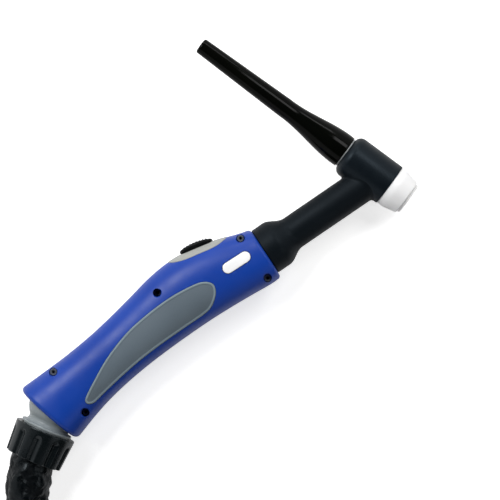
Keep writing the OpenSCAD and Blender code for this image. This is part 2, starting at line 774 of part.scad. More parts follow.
// A ring round the boot, from the distance a along it
module boot_ring(a, r) {
    turned([[a, 0], [a, r], [a + 1.2, r + 0.8], [a + 2.8, r + 0.8], [a + 4, r], [a + 4, 0]]);
}
module plug_boot() {
    color(BLACK) at_plug() union() {
        turned([
            [0, 0], [0, cover_r + 1.2], [2, cover_r + 2], [boot_l - 3, housing_r - 2.4],
            [boot_l, housing_r - 2.4], [boot_l, 0],
        ]);
        for (k = [0:boot_rings - 1]) boot_ring(6 + 6 * k, cover_r + 2.6 + 0.7 * k);
    }
}
module plug_housing() {
    color(BLACK) at_plug() difference() {
        turned([
            [housing_at, 0], [housing_at, housing_r - 2], [housing_at + 2, housing_r],
            [nut_at - 2, housing_r], [nut_at, housing_r - 1], [nut_at, swivel_r],
            [nut_at + swivel_l, swivel_r], [nut_at + swivel_l, swivel_r + 2.4],
            [contact_at, swivel_r + 2.4], [contact_at, 0],
        ]);
        for (k = [0:7]) rotate([45 * k, 0, 0]) translate([housing_at + 8, 0, housing_r + 1.6]) {
            bar(0, plug_l - 16, 3);
            sphere(r = 3);
        }
    }
}
module plug_nut() {
    nut_to = nut_at + nut_l;
    color(BLACK) at_plug() difference() {
        turned([
            [nut_at + play, 0], [nut_at + play, plug_nut_r - 1], [nut_at + 1.4, plug_nut_r],
            [nut_to - 1, plug_nut_r], [nut_to, plug_nut_r - 1], [nut_to, 0],
        ]);
        bar(nut_at, nut_at + swivel_l, swivel_r + play);
        bar(nut_at + swivel_l - play, nut_to + 1, plug_nut_r - 4);
        for (k = [0:15]) rotate([22.5 * k, 0, 0]) translate([0, 0, plug_nut_r + 1.4])
            bar(nut_at + 4, nut_to + 1, 2.4);
    }
}
module plug_contact() {
    tip = pin_at + pin_l;
    groove = seal_mid - 0.9;
    color(BRASS) at_plug() difference() {
        union() {
            bar(contact_at, pin_at, contact_r);
            bar(pin_at, tip - 1, pin_r);
            turned([[tip - 1, 0], [tip - 1, pin_r], [tip, pin_r - 1], [tip, 0]]);
        }
        bar(contact_at - 1, tip + 1, 2);
        turned([
            [seal_at - 1, groove], [seal_at - 1, pin_r + 1], [seal_at + 1, pin_r + 1],
            [seal_at + 1, groove],
        ]);
        for (s = [-1, 1]) translate([0, 0, pins_off * s]) bar(contact_at - 1, pin_at + 1, pins_r);
    }
}
module plug_pins() {
    color(STEEL) at_plug() for (s = [-1, 1]) translate([0, 0, pins_off * s])
        bar(contact_at, pin_at + 7, pins_r - running);
}
module plug_seal() {
    color(RUBBER) at_plug() translate([seal_at, 0, 0]) rotate([0, 90, 0]) rotate_extrude()
        translate([seal_mid, 0]) circle(seal_ring_r);
}

head_body();
neck_tube();
head_cover();
insulator();
cap_seal();
back_cap();
shell_left();
shell_right();
inlay_left();
inlay_right();
badge();
handle_screws();
switch_housing();
switch_button();
micro_switch();
switch_plunger();
switch_lead();
cable_nut();
cable_ferrule();
power_cable();
cable_bush();
ball_joint();
clamp_ring();
collar_nut();
hose_lead();
hose_coil();
hose_tail();
plug_boot();
plug_housing();
plug_nut();
plug_contact();
plug_pins();
plug_seal();
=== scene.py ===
"""Studio model of a TIG torch on its hose: visible pieces, finishes, lamps and camera.

Lengths are in millimetres until a mesh is made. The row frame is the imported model's
own: +X along the head's axis, out of its mouth, and +Z square to the plane that
holds head, neck and handle.
"""

from __future__ import annotations

import logging
import math
from dataclasses import dataclass, field
from enum import Enum
from typing import Callable, Iterable, Sequence

import bmesh
import bpy
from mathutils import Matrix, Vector, interpolate, noise
from mathutils.bvhtree import BVHTree
from mathutils.geometry import delaunay_2d_cdt

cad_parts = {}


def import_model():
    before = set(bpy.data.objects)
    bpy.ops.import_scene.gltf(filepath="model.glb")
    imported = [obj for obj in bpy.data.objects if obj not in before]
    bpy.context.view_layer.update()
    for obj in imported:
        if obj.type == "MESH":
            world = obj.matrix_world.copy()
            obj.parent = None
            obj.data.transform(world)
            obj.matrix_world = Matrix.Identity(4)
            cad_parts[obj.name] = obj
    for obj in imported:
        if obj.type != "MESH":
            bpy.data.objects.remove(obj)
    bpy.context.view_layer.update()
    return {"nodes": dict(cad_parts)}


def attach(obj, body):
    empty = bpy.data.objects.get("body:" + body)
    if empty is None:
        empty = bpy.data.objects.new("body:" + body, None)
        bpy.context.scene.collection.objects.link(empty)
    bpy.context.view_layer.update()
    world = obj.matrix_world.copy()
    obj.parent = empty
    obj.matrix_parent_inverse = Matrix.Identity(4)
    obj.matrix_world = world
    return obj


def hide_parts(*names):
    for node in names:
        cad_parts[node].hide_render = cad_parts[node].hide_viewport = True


LOG = logging.getLogger("tig_torch")
MM = 0.001
POLE = 1e-6
WHITE = (1.0, 1.0, 1.0, 1.0)
Colour = tuple[float, float, float, float]
Tone = tuple[int, int, int]
Pair = tuple[float, float]
Profile = Sequence[tuple[float, ...]]
Outline = Sequence[Vector]
Lift = Callable[[Vector], tuple[Vector, Vector]]
Socket = bpy.types.NodeSocket
Sockets = dict[str, Socket]
Piece = bpy.types.Object
Material = bpy.types.Material


class Body(Enum):
    """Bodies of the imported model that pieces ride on."""

    HOSE = "hose"
    BALL = "ball"
    COLLAR = "collar"
    TORCH = "torch"
    BUTTON = "button"
    SEAL = "cap_seal"
    CAP = "back_cap"
    PLUG_NUT = "plug_nut"


class Side(Enum):
    """The handle's two shells, by the sign of Z that they lie on."""

    RIGHT = 1
    LEFT = -1


# ---------------------------------------------------------------- places and curves
@dataclass(frozen=True)
class Place:
    """A local frame whose +X lies in the torch's plane.

    Attributes:
        x: Origin's X in the row frame.
        y: Origin's Y in the row frame.
        z: Origin's Z in the row frame.
        turn: Direction of local +X, in degrees about Z from the row's +X.
    """

    x: float = 0.0
    y: float = 0.0
    z: float = 0.0
    turn: float = 0.0

    def point(self, along: float, across: float = 0.0, up: float = 0.0) -> Vector:
        """Returns a local point in the row frame."""
        cos, sin = math.cos(math.radians(self.turn)), math.sin(math.radians(self.turn))
        return Vector((self.x + along * cos - across * sin, self.y + along * sin + across * cos, self.z + up))

    def polar(self, along: float, radius: float, angle: float) -> Vector:
        """Returns the point at an angle round local +X, in the row frame."""
        return self.point(along, radius * math.cos(angle), radius * math.sin(angle))

    def direction(self, along: float, across: float = 0.0, up: float = 0.0) -> Vector:
        """Returns a local direction in the row frame."""
        return Place(turn=self.turn).point(along, across, up)

    def local(self, point: Vector) -> Vector:
        """Returns a point of the row frame in this one."""
        return Place(turn=-self.turn).point(point.x - self.x, point.y - self.y, point.z - self.z)

    def within(self, along: float, across: float, turn: float) -> "Place":
        """Returns a place that is stated in this one."""
        at = self.point(along, across)
        return Place(at.x, at.y, at.z, self.turn + turn)


NECK = Place(-7.0, 0.0, 0.0, 70.8)
BALL = NECK.within(-244.177, -5.90887, 212.204)
SWITCH_IN_NECK = Place(-117.3, 26.1, 0.0, -12.0)
SWITCH = NECK.within(SWITCH_IN_NECK.x, SWITCH_IN_NECK.y, SWITCH_IN_NECK.turn)
PLUG = Place(330.4, -198.0, 3.7, math.degrees(math.atan2(0.994309, -0.106533)))
FLOOR_Z = -20.3


def held(value: float) -> float:
    """Returns a value held between 0 and 1."""
    return min(1.0, max(0.0, value))


def angles(sides: int) -> list[float]:
    """Returns equal angles round a whole turn."""
    return [math.tau * k / sides for k in range(sides)]


def bend(a: Vector, b: Vector, c: Vector, t: float) -> Vector:
    """Returns the curve from a to c at share t, drawn towards b."""
    return a * (1 - t) ** 2 + b * (2 * t * (1 - t)) + c * t**2


def through(a: Vector, b: Vector, c: Vector, d: Vector, t: float) -> Vector:
    """Returns the smooth curve through b and c at share t, with a and d as its neighbours."""
    return 0.5 * (2 * b + (c - a) * t + (2 * a - 5 * b + 4 * c - d) * t**2 + (3 * b - 3 * c + d - a) * t**3)


def smooth_loop(points: Sequence[Pair], steps: int) -> list[Vector]:
    """Draws a closed smooth curve through points.

    Args:
        points: The knots, either way round.
        steps: Stretches between two knots.

    Returns:
        The anticlockwise loop.
    """
    knots = [Vector(p) for p in points]
    n = len(knots)
    loop = [
        through(knots[i - 1], knots[i], knots[(i + 1) % n], knots[(i + 2) % n], k / steps)
        for i in range(n)
        for k in range(steps)
    ]
    area = sum(a.x * b.y - b.x * a.y for a, b in zip(loop, loop[1:] + loop[:1]))
    return loop if area > 0 else loop[::-1]


def stadium(length: float, width: float, steps: int = 18) -> list[Vector]:
    """Returns an anticlockwise oblong with round ends."""
    r = width / 2
    turns = [math.pi * (k / steps - 0.5) for k in range(steps + 1)]
    return [
        Vector((side * (length / 2 - r + r * math.cos(a)), side * r * math.sin(a))) for side in (1, -1) for a in turns
    ]


def blunt_oval(length: float, width: float, power: float, steps: int = 160) -> list[Vector]:
    """Draws an oval with blunt ends.

    Args:
        length: Its length, along X.
        width: Its width.
        power: The lower, the blunter its ends.
        steps: Its corners.

    Returns:
        The anticlockwise loop.
    """

    def swell(share: float) -> float:
        """Returns a share of the half size, swollen by power."""
        return math.copysign(abs(share) ** power, share)

    return [Vector((swell(math.cos(a)) * length / 2, swell(math.sin(a)) * width / 2)) for a in angles(steps)]


def soften(profile: Profile, steps: int = 5) -> list[Vector]:
    """Rounds a profile's corners.

    Args:
        profile: Points as (along, radius) or (along, radius, rounding).
        steps: Stretches to each rounded corner.

    Returns:
        The profile's points, with each rounding drawn in.
    """
    drawn: list[Vector] = []
    for i, entry in enumerate(profile):
        here = Vector(entry[:2])
        if len(entry) < 3 or not entry[2]:
            drawn.append(here)
            continue
        before = Vector(profile[i - 1][:2]) - here
        after = Vector(profile[(i + 1) % len(profile)][:2]) - here
        reach = entry[2] / math.tan(max(before.angle(after), 0.05) / 2)
        reach = min(reach, 0.49 * before.length, 0.49 * after.length)
        start, end = here + before.normalized() * reach, here + after.normalized() * reach
        drawn += [bend(start, here, end, k / steps) for k in range(steps + 1)]
    return drawn


# ---------------------------------------------------------------- meshes
def add_object(name: str, data: bpy.types.ID) -> Piece:
    """Returns a new object of the scene with the data given."""
    thing = bpy.data.objects.new(name, data)
    bpy.context.scene.collection.objects.link(thing)
    return thing


def plain_mesh(name: str, points: Iterable[Sequence[float]], faces: Iterable[Sequence[int]]) -> bpy.types.Mesh:
    """Returns a mesh of points in metres and faces."""
    mesh = bpy.data.meshes.new(name)
    mesh.from_pydata(list(points), [], [list(f) for f in faces])
    return mesh


def make_piece(
    name: str, points: Iterable[Vector], faces: Iterable[Sequence[int]], sharp: float = 35.0
) -> Piece:
    """Makes a smooth-shaded object.

    Args:
        name: The piece's name.
        points: Corners in the row frame, in millimetres.
        faces: Corner numbers of each face.
        sharp: Angle in degrees over which an edge stays sharp.

    Returns:
        The linked object, at the origin.
    """
    mesh = plain_mesh(name, (p * MM for p in points), faces)
    work = bmesh.new()
    work.from_mesh(mesh)
    bmesh.ops.recalc_face_normals(work, faces=work.faces)
    work.to_mesh(mesh)
    work.free()
    mesh.shade_smooth()
    mesh.set_sharp_from_angle(angle=math.radians(sharp))
    return add_object(name, mesh)


def join_rings(rings: Sequence[Sequence[int]], closed: bool = False) -> list[list[int]]:
    """Joins neighbouring rings with faces.

    Args:
        rings: Corner numbers of each ring, where a ring of one corner is a pole.
        closed: Whether the last ring joins the first.

    Returns:
        The faces' corner numbers.
    """
    faces = []
    for a, b in list(zip(rings, rings[1:])) + ([(rings[-1], rings[0])] if closed else []):
        for k in range(max(len(a), len(b))):
            face = [a[k % len(a)], a[(k + 1) % len(a)], b[(k + 1) % len(b)], b[k % len(b)]]
            face = list(dict.fromkeys(face))
            if len(face) > 2:
                faces.append(face)
    return faces


@dataclass(frozen=True)
class Flutes:
    """Grip flutes round a turned piece.

    Attributes:
        count: Number of flutes.
        start: Where their round tops begin, along the axis.
        end: Where they end; past the piece's end they run out.
        width: Width across a flute.
        depth: Depth of its floor.
        edge: Width of its sloping side.
        phase: Share of a pitch that the first is turned by.
    """

    count: int
    start: float
    end: float
    width: float
    depth: float
    edge: float
    phase: float = 0.5

    def cut(self, along: float, angle: float, radius: float) -> float:
        """Works out how deep the surface lies.

        Args:
            along: Distance along the axis.
            angle: Angle round it.
            radius: The uncut radius there.

        Returns:
            The depth.
        """
        pitch = math.tau / self.count
        off = (angle / pitch - self.phase) % 1.0
        across = radius * pitch * min(off, 1 - off)
        half = self.width / 2
        past = max(self.start + half - along, along - (self.end - half), 0.0)
        t = held((half - math.hypot(across, past)) / self.edge)
        return self.depth * t * t * (3 - 2 * t)


class Skin:
    """Corners in rings, which are joined into a surface."""

    def __init__(self) -> None:
        """Starts with no corner."""
        self.points: list[Vector] = []
        self.rings: list[list[int]] = []

    def ring(self, points: Iterable[Vector]) -> list[int]:
        """Adds a ring and returns its corners' numbers."""
        first = len(self.points)
        self.points += points
        self.rings.append(list(range(first, len(self.points))))
        return self.rings[-1]

    def turn(self, place: Place, rows: Iterable[Vector], sides: int, flutes: Flutes | None = None) -> None:
        """Adds rings round a place's X axis.

        Args:
            place: Frame whose X axis is the axis.
            rows: The rings' (along, radius).
            sides: Corners to a ring.
            flutes: Flutes to cut into them.
        """
        for p in rows:
            self.ring(
                place.polar(p.x, p.y - (flutes.cut(p.x, a, p.y) if flutes else 0.0), a)
                for a in angles(sides if p.y > POLE else 1)
            )

    def piece(self, name: str, closed: bool = False, sharp: float = 35.0) -> Piece:
        """Returns the piece that the rings make; closed joins the last to the first."""
        return make_piece(name, self.points, join_rings(self.rings, closed), sharp)


def revolve(name: str, place: Place, profile: Profile, sides: int = 128, closed: bool = False) -> Piece:
    """Turns a profile round a place's X axis.

    Args:
        name: The piece's name.
        place: Frame whose X axis is the axis.
        profile: Points as (along, radius) with an optional rounding.
        sides: Corners round the axis.
        closed: Whether the last point joins the first, as on a ring.

    Returns:
        The turned piece.
    """
    skin = Skin()
    skin.turn(place, soften(profile), sides)
    return skin.piece(name, closed)


def fluted(
    name: str, place: Place, outside: Profile, inside: Profile, flutes: Flutes, pitch_steps: int = 32, step: float = 0.5
) -> Piece:
    """Makes a turned ring with grip flutes in its outside.

    Args:
        name: The piece's name.
        place: Frame whose X axis is the axis.
        outside: The outer profile, from its start to its end.
        inside: The bore's profile, back from the end to the start.
        flutes: The flutes.
        pitch_steps: Corners to each flute's pitch.
        step: Greatest stretch along the outside.

    Returns:
        The closed ring.
    """
    corners = soften(outside)
    rows: list[Vector] = []
    for a, b in zip(corners, corners[1:]):
        n = max(1, math.ceil((b - a).length / step))
        rows += [a.lerp(b, k / n) for k in range(n)]
    skin = Skin()
    skin.turn(place, [*rows, corners[-1]], flutes.count * pitch_steps, flutes)
    skin.turn(place, soften(inside), flutes.count * pitch_steps)
    return skin.piece(name, True, 40.0)


def holds(loop: Outline, point: Vector) -> bool:
    """Returns whether a closed outline holds a point."""
    hit = False
    for a, b in zip(loop, list(loop[1:]) + [loop[0]]):
        if (a.y > point.y) != (b.y > point.y) and point.x < (b.x - a.x) * (point.y - a.y) / (b.y - a.y) + a.x:
            hit = not hit
    return hit


def drawn_in(loop: Outline, inset: float) -> list[Vector]:
    """Moves a loop to its left, which is into an anticlockwise outline.

    Args:
        loop: The loop.
        inset: How far it moves.

    Returns:
        The moved loop.
    """
    moved = []
    for i, here in enumerate(loop):
        tangent = (loop[(i + 1) % len(loop)] - loop[i - 1]).normalized()
        moved.append(here + inset * Vector((-tangent.y, tangent.x)))
    return moved


def pad(
    name: str,
    outline: Outline,
    rise: Sequence[Pair],
    lift: Lift,
    hole: Outline | None = None,
    spacing: float = 1.6,
) -> Piece:
    """Makes a closed pad that follows a curved surface.

    Args:
        name: The piece's name.
        outline: Anticlockwise outline in the plane that lift takes.
        rise: Section from foot to top as (distance in from the outline, height over the surface).
        lift: Gives the surface's point and outward direction for a point of the plane.
        hole: Anticlockwise outline of an opening through the pad.
        spacing: Distance between the corners that cover the top.

    Returns:
        The pad.
    """
    loops = [list(outline)] + ([list(hole)[::-1]] if hole else [])
    inner = [drawn_in(loop, rise[-1][0]) for loop in loops]
    margins = [drawn_in(loop, 0.6 * spacing) for loop in inner]

    def covered(rims: Sequence[Outline], p: Vector) -> bool:
        """Returns whether a point lies in the outer rim and out of the hole's."""
        return holds(rims[0], p) and not any(holds(rim, p) for rim in rims[1:])

    flat: list[Vector] = [p for loop in inner for p in loop]
    xs, ys = [p.x for p in inner[0]], [p.y for p in inner[0]]
    for i in range(int((max(xs) - min(xs)) / spacing) + 1):
        for j in range(int((max(ys) - min(ys)) / spacing) + 1):
            p = Vector((min(xs) + (i + 0.5 * (j % 2)) * spacing, min(ys) + j * spacing))
            if covered(margins, p):
                flat.append(p)
    edges: list[tuple[int, int]] = []
    for loop in inner:
        start, size = len(edges), len(loop)
        edges += [(start + k, start + (k + 1) % size) for k in range(size)]
    placed, _, cells, *_ = delaunay_2d_cdt(flat, edges, [], 0, 1e-6)
    cover = [
        list(cell)
        for cell in cells
        if covered(inner, sum((placed[i] for i in cell), Vector((0, 0))) / len(cell))
    ]

    skin = Skin()

    def add(where: Sequence[Vector], height: float) -> list[int]:
        """Lifts points onto the surface and returns their numbers."""
        return skin.ring(at + out * height for at, out in map(lift, where))

    top, foot = add(placed, rise[-1][1]), add(placed, rise[0][1])
    faces = [[top[i] for i in cell] for cell in cover]
    faces += [[foot[i] for i in reversed(cell)] for cell in cover]
    start = 0
    for loop in loops:
        end = start + len(loop)
        sides = [add(drawn_in(loop, inset), height) for inset, height in rise[:-1]]
        faces += join_rings([foot[start:end], *sides, top[start:end]])
        start = end
    return make_piece(name, skin.points, faces, 50.0)


def evaluated(piece: Piece) -> bpy.types.Mesh:
    """Returns a plain mesh of a piece with its modifiers worked in, and clears them."""
    graph = bpy.context.evaluated_depsgraph_get()
    mesh = bpy.data.meshes.new_from_object(piece.evaluated_get(graph), depsgraph=graph)
    piece.modifiers.clear()
    return mesh


def carve(piece: Piece, cutters: Sequence[Piece]) -> None:
    """Cuts pieces out of a piece.

    Args:
        piece: What is cut.
        cutters: What is cut out of it; they are removed.
    """
    for cutter in cutters:
        change = piece.modifiers.new(cutter.name, "BOOLEAN")
        change.operation = "DIFFERENCE"
        change.solver = "MANIFOLD"
        change.object = cutter
    old, piece.data = piece.data, evaluated(piece)
    bpy.data.meshes.remove(old)
    for cutter in cutters:
        bpy.data.objects.remove(cutter)


# ---------------------------------------------------------------- node trees
class Wiring:
    """Adds and joins nodes in one tree."""

    def __init__(self, tree: bpy.types.NodeTree) -> None:
        """Takes the tree to work in."""
        self.tree = tree

    def set(self, node: bpy.types.Node, inputs: dict) -> bpy.types.Node:
        """Gives a node's inputs their values, or joins sockets to them.

        Args:
            node: The node.
            inputs: Values, or sockets to join, by the input's name or number.

        Returns:
            The node.
        """
        for key, value in inputs.items():
            if isinstance(value, Socket):
                self.tree.links.new(value, node.inputs[key])
            else:
                node.inputs[key].default_value = value
        return node

    def add(self, kind: str, inputs: dict | None = None, **settings: object) -> bpy.types.Node:
        """Adds a node.

        Args:
            kind: The node's type.
            inputs: Values, or sockets to join, by the input's name or number.
            **settings: The node's own properties.

        Returns:
            The new node.
        """
        node = self.tree.nodes.new(kind)
        for key, value in settings.items():
            setattr(node, key, value)
        return self.set(node, inputs or {})

    def coords(self) -> Socket:
        """Returns the object's coordinates."""
        return self.add("ShaderNodeTexCoord").outputs["Object"]

    def noise(self, at: Socket, scale: object, detail: float, rough: float = 0.55, out: str = "Fac") -> Socket:
        """Returns one output of a noise texture."""
        inputs = {"Vector": at, "Scale": scale, "Detail": detail, "Roughness": rough}
        return self.add("ShaderNodeTexNoise", inputs).outputs[out]

    def cells(self, at: Socket, scale: object, feature: str = "SMOOTH_F1") -> Socket:
        """Returns a cell texture's distance."""
        return self.add("ShaderNodeTexVoronoi", {"Vector": at, "Scale": scale}, feature=feature).outputs["Distance"]

    def stretch(self, at: Socket, scale: tuple[float, ...], turn: tuple[float, ...] = (0.0, 0.0, 0.0)) -> Socket:
        """Returns turned and stretched coordinates."""
        return self.add("ShaderNodeMapping", {"Vector": at, "Rotation": turn, "Scale": scale}).outputs[0]

    def math(self, operation: str, a: object, b: object = 0.0, c: object = 0.0) -> Socket:
        """Returns the result of a sum of up to three numbers."""
        return self.add("ShaderNodeMath", {0: a, 1: b, 2: c}, operation=operation).outputs[0]

    def remap(self, value: object, low: float, high: float, to_low: float = 0.0, to_high: float = 1.0) -> Socket:
        """Maps a number from one range to another, held within it."""
        inputs = {"Value": value, "From Min": low, "From Max": high, "To Min": to_low, "To Max": to_high}
        return self.add("ShaderNodeMapRange", inputs).outputs["Result"]

    def mix(self, share: object, a: object, b: object) -> Socket:
        """Mixes two colours."""
        return self.add("ShaderNodeMix", {0: share, 6: a, 7: b}, data_type="RGBA").outputs[2]

    def bump(self, height: Socket, depth: float, strength: float) -> Socket:
        """Returns the direction of a surface with a relief, whose depth is in millimetres."""
        return self.add("ShaderNodeBump", {"Height": height, "Distance": depth * MM, "Strength": strength}).outputs[0]


@dataclass(frozen=True)
class Group:
    """A shader group that materials share.

    Attributes:
        name: The group's name.
        inputs: Its number inputs with their defaults.
        outputs: Its number outputs.
        fill: Wires it from its inputs' sockets, and returns the outputs' sockets.
    """

    name: str
    inputs: dict[str, float]
    outputs: tuple[str, ...]
    fill: Callable[[Wiring, Sockets], Sockets]

    def tree(self) -> bpy.types.NodeTree:
        """Returns the group's tree, and builds it the first time."""
        tree = bpy.data.node_groups.get(self.name)
        if tree:
            return tree
        tree = bpy.data.node_groups.new(self.name, "ShaderNodeTree")
        for label, value in self.inputs.items():
            socket = tree.interface.new_socket(label, in_out="INPUT", socket_type="NodeSocketFloat")
            socket.default_value = value
        for label in self.outputs:
            tree.interface.new_socket(label, in_out="OUTPUT", socket_type="NodeSocketFloat")
        w = Wiring(tree)
        w.add("NodeGroupOutput", self.fill(w, dict(w.add("NodeGroupInput").outputs.items())))
        return tree

    def use(self, w: Wiring, **values: float) -> Sockets:
        """Adds the group to a material and returns its outputs."""
        return dict(w.add("ShaderNodeGroup", values, node_tree=self.tree()).outputs.items())


def fill_mould_grain(w: Wiring, given: Sockets) -> Sockets:
    """Wires the fine texture of a mould, with a slow drift of tone."""
    at = w.coords()
    fine = w.noise(at, given["Scale"], 3.0)
    height = w.math("MULTIPLY_ADD", w.cells(at, given["Scale"]), -0.6, fine)
    return {"Height": height, "Tone": w.remap(w.noise(at, given["Drift"], 2.0), 0.35, 0.65)}


def fill_edge_wear(w: Wiring, given: Sockets) -> Sockets:
    """Wires a mask of rubbed edges, broken up by noise."""
    mask = w.remap(w.add("ShaderNodeNewGeometry").outputs["Pointiness"], 0.51, 0.58)
    broken = w.remap(w.noise(w.coords(), 420.0, 4.0, 0.7), 0.42, 0.62)
    return {"Mask": w.math("MULTIPLY", w.math("MULTIPLY", mask, broken), given["Amount"])}


def fill_handling(w: Wiring, given: Sockets) -> Sockets:
    """Wires smudges of handling and fine hairline scratches."""
    at = w.coords()
    lines = w.noise(w.stretch(at, (1.0, 14.0, 14.0), (0.3, 0.2, 0.9)), 130.0, 2.0)
    smudge = w.remap(w.noise(at, given["Scale"], 3.0, 0.65), 0.4, 0.68)
    return {"Smudge": smudge, "Scratch": w.remap(lines, 0.66, 0.70)}


def fill_leather(w: Wiring, given: Sockets) -> Sockets:
    """Wires a hide's pebbles, fine creases and broad folds."""
    at = w.coords()
    bent = w.noise(at, 160.0, 2.0, out="Color")
    nudge = {0: bent, 1: (0.003, 0.003, 0.003), 2: at}
    moved = w.add("ShaderNodeVectorMath", nudge, operation="MULTIPLY_ADD").outputs[0]
    line = w.remap(w.cells(moved, 190.0, "DISTANCE_TO_EDGE"), 0.0, 0.08)
    fold = w.noise(at, 75.0, 2.0, 0.5)
    ridge = w.remap(w.math("ABSOLUTE", w.math("SUBTRACT", fold, 0.5)), 0.0, 0.08)
    pebble = w.cells(moved, given["Scale"])
    height = w.math("MULTIPLY_ADD", pebble, -0.05, w.math("MULTIPLY_ADD", line, 0.1, ridge))
    # The second output is low along the crease lines and fold lines, where the hide's colour is painted darker as
    # shade.
    return {"Height": height, "Open": w.math("MULTIPLY", line, ridge)}


def fill_lathe_rings(w: Wiring, given: Sockets) -> Sockets:
    """Wires the lathe's fine rings, which run across the X axis of the stretched coordinates."""
    return {"Height": w.noise(w.stretch(w.coords(), (9.0, 0.6, 0.6)), given["Scale"], 3.0, 0.6)}


MOULD_GRAIN = Group("mould_grain", {"Scale": 3000.0, "Drift": 22.0}, ("Height", "Tone"), fill_mould_grain)
EDGE_WEAR = Group("edge_wear", {"Amount": 0.5}, ("Mask",), fill_edge_wear)
HANDLING = Group("handling", {"Scale": 55.0}, ("Smudge", "Scratch"), fill_handling)
LEATHER = Group("hide", {"Scale": 900.0}, ("Height", "Open"), fill_leather)
LATHE_RINGS = Group("lathe_rings", {"Scale": 700.0}, ("Height",), fill_lathe_rings)


# ---------------------------------------------------------------- finishes
def paint(tone: Tone) -> Colour:
    """Returns a colour that is stated in screen values from 0 to 255 as linear light."""
    shares = [v / 255 for v in tone]
    red, green, blue = [(v / 12.92 if v <= 0.04045 else ((v + 0.055) / 1.055) ** 2.4) for v in shares]
    return (red, green, blue, 1.0)


class Paint(Wiring):
    """A new material with one surface shader."""

    def __init__(self, name: str) -> None:
        """Makes the material."""
        self.material = bpy.data.materials.new(name)
        self.material.use_nodes = True
        self.material.node_tree.nodes.clear()
        super().__init__(self.material.node_tree)
        self.surface = self.add("ShaderNodeBsdfPrincipled")
        self.out = self.add("ShaderNodeOutputMaterial", {"Surface": self.surface.outputs[0]})

    def finish(self, **inputs: object) -> Material:
        """Sets the surface's inputs, whose names are written with underscores, and returns the material."""
        self.set(self.surface, {key.replace("_", " "): value for key, value in inputs.items()})
        return self.material


@dataclass(frozen=True)
class Moulded:
    """A moulded plastic or rubber with grain, drift of tone, handling and rubbed edges.

    Attributes:
        name: The material's name.
        colour: Its main colour.
        second: The colour that its tone drifts to.
        rubbed: The colour of its rubbed edges.
        rough: Roughness where clean and where handled.
        grain: Size of the mould's grain, in millimetres.
        depth: Depth of the grain, in millimetres.
        wear: How far rubbed edges show, from 0 to 1.
        level: Level of the plain reflection.
        glow: Weight of light that scatters under the surface.
        tint: Colour of the plain reflection.
    """

    name: str
    colour: Tone
    second: Tone
    rubbed: Tone
    rough: Pair
    grain: float
    depth: float
    wear: float = 0.3
    level: float = 0.5
    glow: float = 0.0
    tint: Colour = WHITE

    def make(self) -> Material:
        """Builds the material."""
        w = Paint(self.name)
        grain = MOULD_GRAIN.use(w, Scale=1.0 / (self.grain * MM))
        handling, wear = HANDLING.use(w), EDGE_WEAR.use(w, Amount=self.wear)
        tone = w.mix(grain["Tone"], paint(self.colour), paint(self.second))
        rough = w.remap(handling["Smudge"], 0.0, 1.0, *self.rough)
        height = w.math("MULTIPLY_ADD", handling["Scratch"], -0.35, grain["Height"])
        if self.glow:
            w.finish(Subsurface_Weight=self.glow, Subsurface_Radius=(0.0012, 0.0011, 0.001), Subsurface_Scale=1.0)
        return w.finish(
            Base_Color=w.mix(wear["Mask"], tone, paint(self.rubbed)),
            Roughness=w.math("MULTIPLY_ADD", handling["Scratch"], 0.08, rough),
            Normal=w.bump(height, self.depth, 0.8),
            Specular_IOR_Level=self.level,
            Specular_Tint=self.tint,
        )


@dataclass(frozen=True)
class Hide:
    """Black leather, with pebbles and creases, painted darker in the creases as shade and paler on the high spots.

    Attributes:
        name: The material's name.
        colour: Its colour in the creases, darker as painted shade.
        high: Its colour on the high spots, paler than the painted shade of the creases.
        rough: Roughness of high spots and of creases.
        pebble: Size of a pebble, in millimetres.
        depth: Depth of the folds, in millimetres.
        level: Level of the plain reflection.
        tint: Colour of the plain reflection.
    """

    name: str
    colour: Tone
    high: Tone
    rough: Pair
    pebble: float
    depth: float
    level: float
    tint: Colour

    def make(self) -> Material:
        """Builds the material."""
        w = Paint(self.name)
        hide = LEATHER.use(w, Scale=1.0 / (self.pebble * MM))
        rough = w.remap(hide["Open"], 0.0, 1.0, self.rough[1], self.rough[0])
        return w.finish(
            # The creases take the darker colour as painted shade; the high spots take the paler one.
            Base_Color=w.mix(hide["Open"], paint(self.colour), paint(self.high)),
            Roughness=w.math("MULTIPLY_ADD", HANDLING.use(w)["Smudge"], 0.12, rough),
            Normal=w.bump(hide["Height"], self.depth, 0.9),
            Specular_IOR_Level=self.level,
            Specular_Tint=self.tint,
        )


@dataclass(frozen=True)
class Metal:
    """Turned metal with fine lathe rings and a dull patina.

    Attributes:
        name: The material's name.
        colour: Its bright colour.
        patina: Its dulled colour.
        rough: Roughness where bright and where dulled.
        depth: Depth of the rings, in millimetres.
    """

    name: str
    colour: Tone
    patina: Tone
    rough: Pair = (0.24, 0.42)
    depth: float = 0.02

    def make(self) -> Material:
        """Builds the material."""
        w = Paint(self.name)
        smudge = HANDLING.use(w)["Smudge"]
        return w.finish(
            Base_Color=w.mix(smudge, paint(self.colour), paint(self.patina)),
            Roughness=w.remap(smudge, 0.0, 1.0, *self.rough),
            Normal=w.bump(LATHE_RINGS.use(w)["Height"], self.depth, 0.6),
            Metallic=1.0,
        )


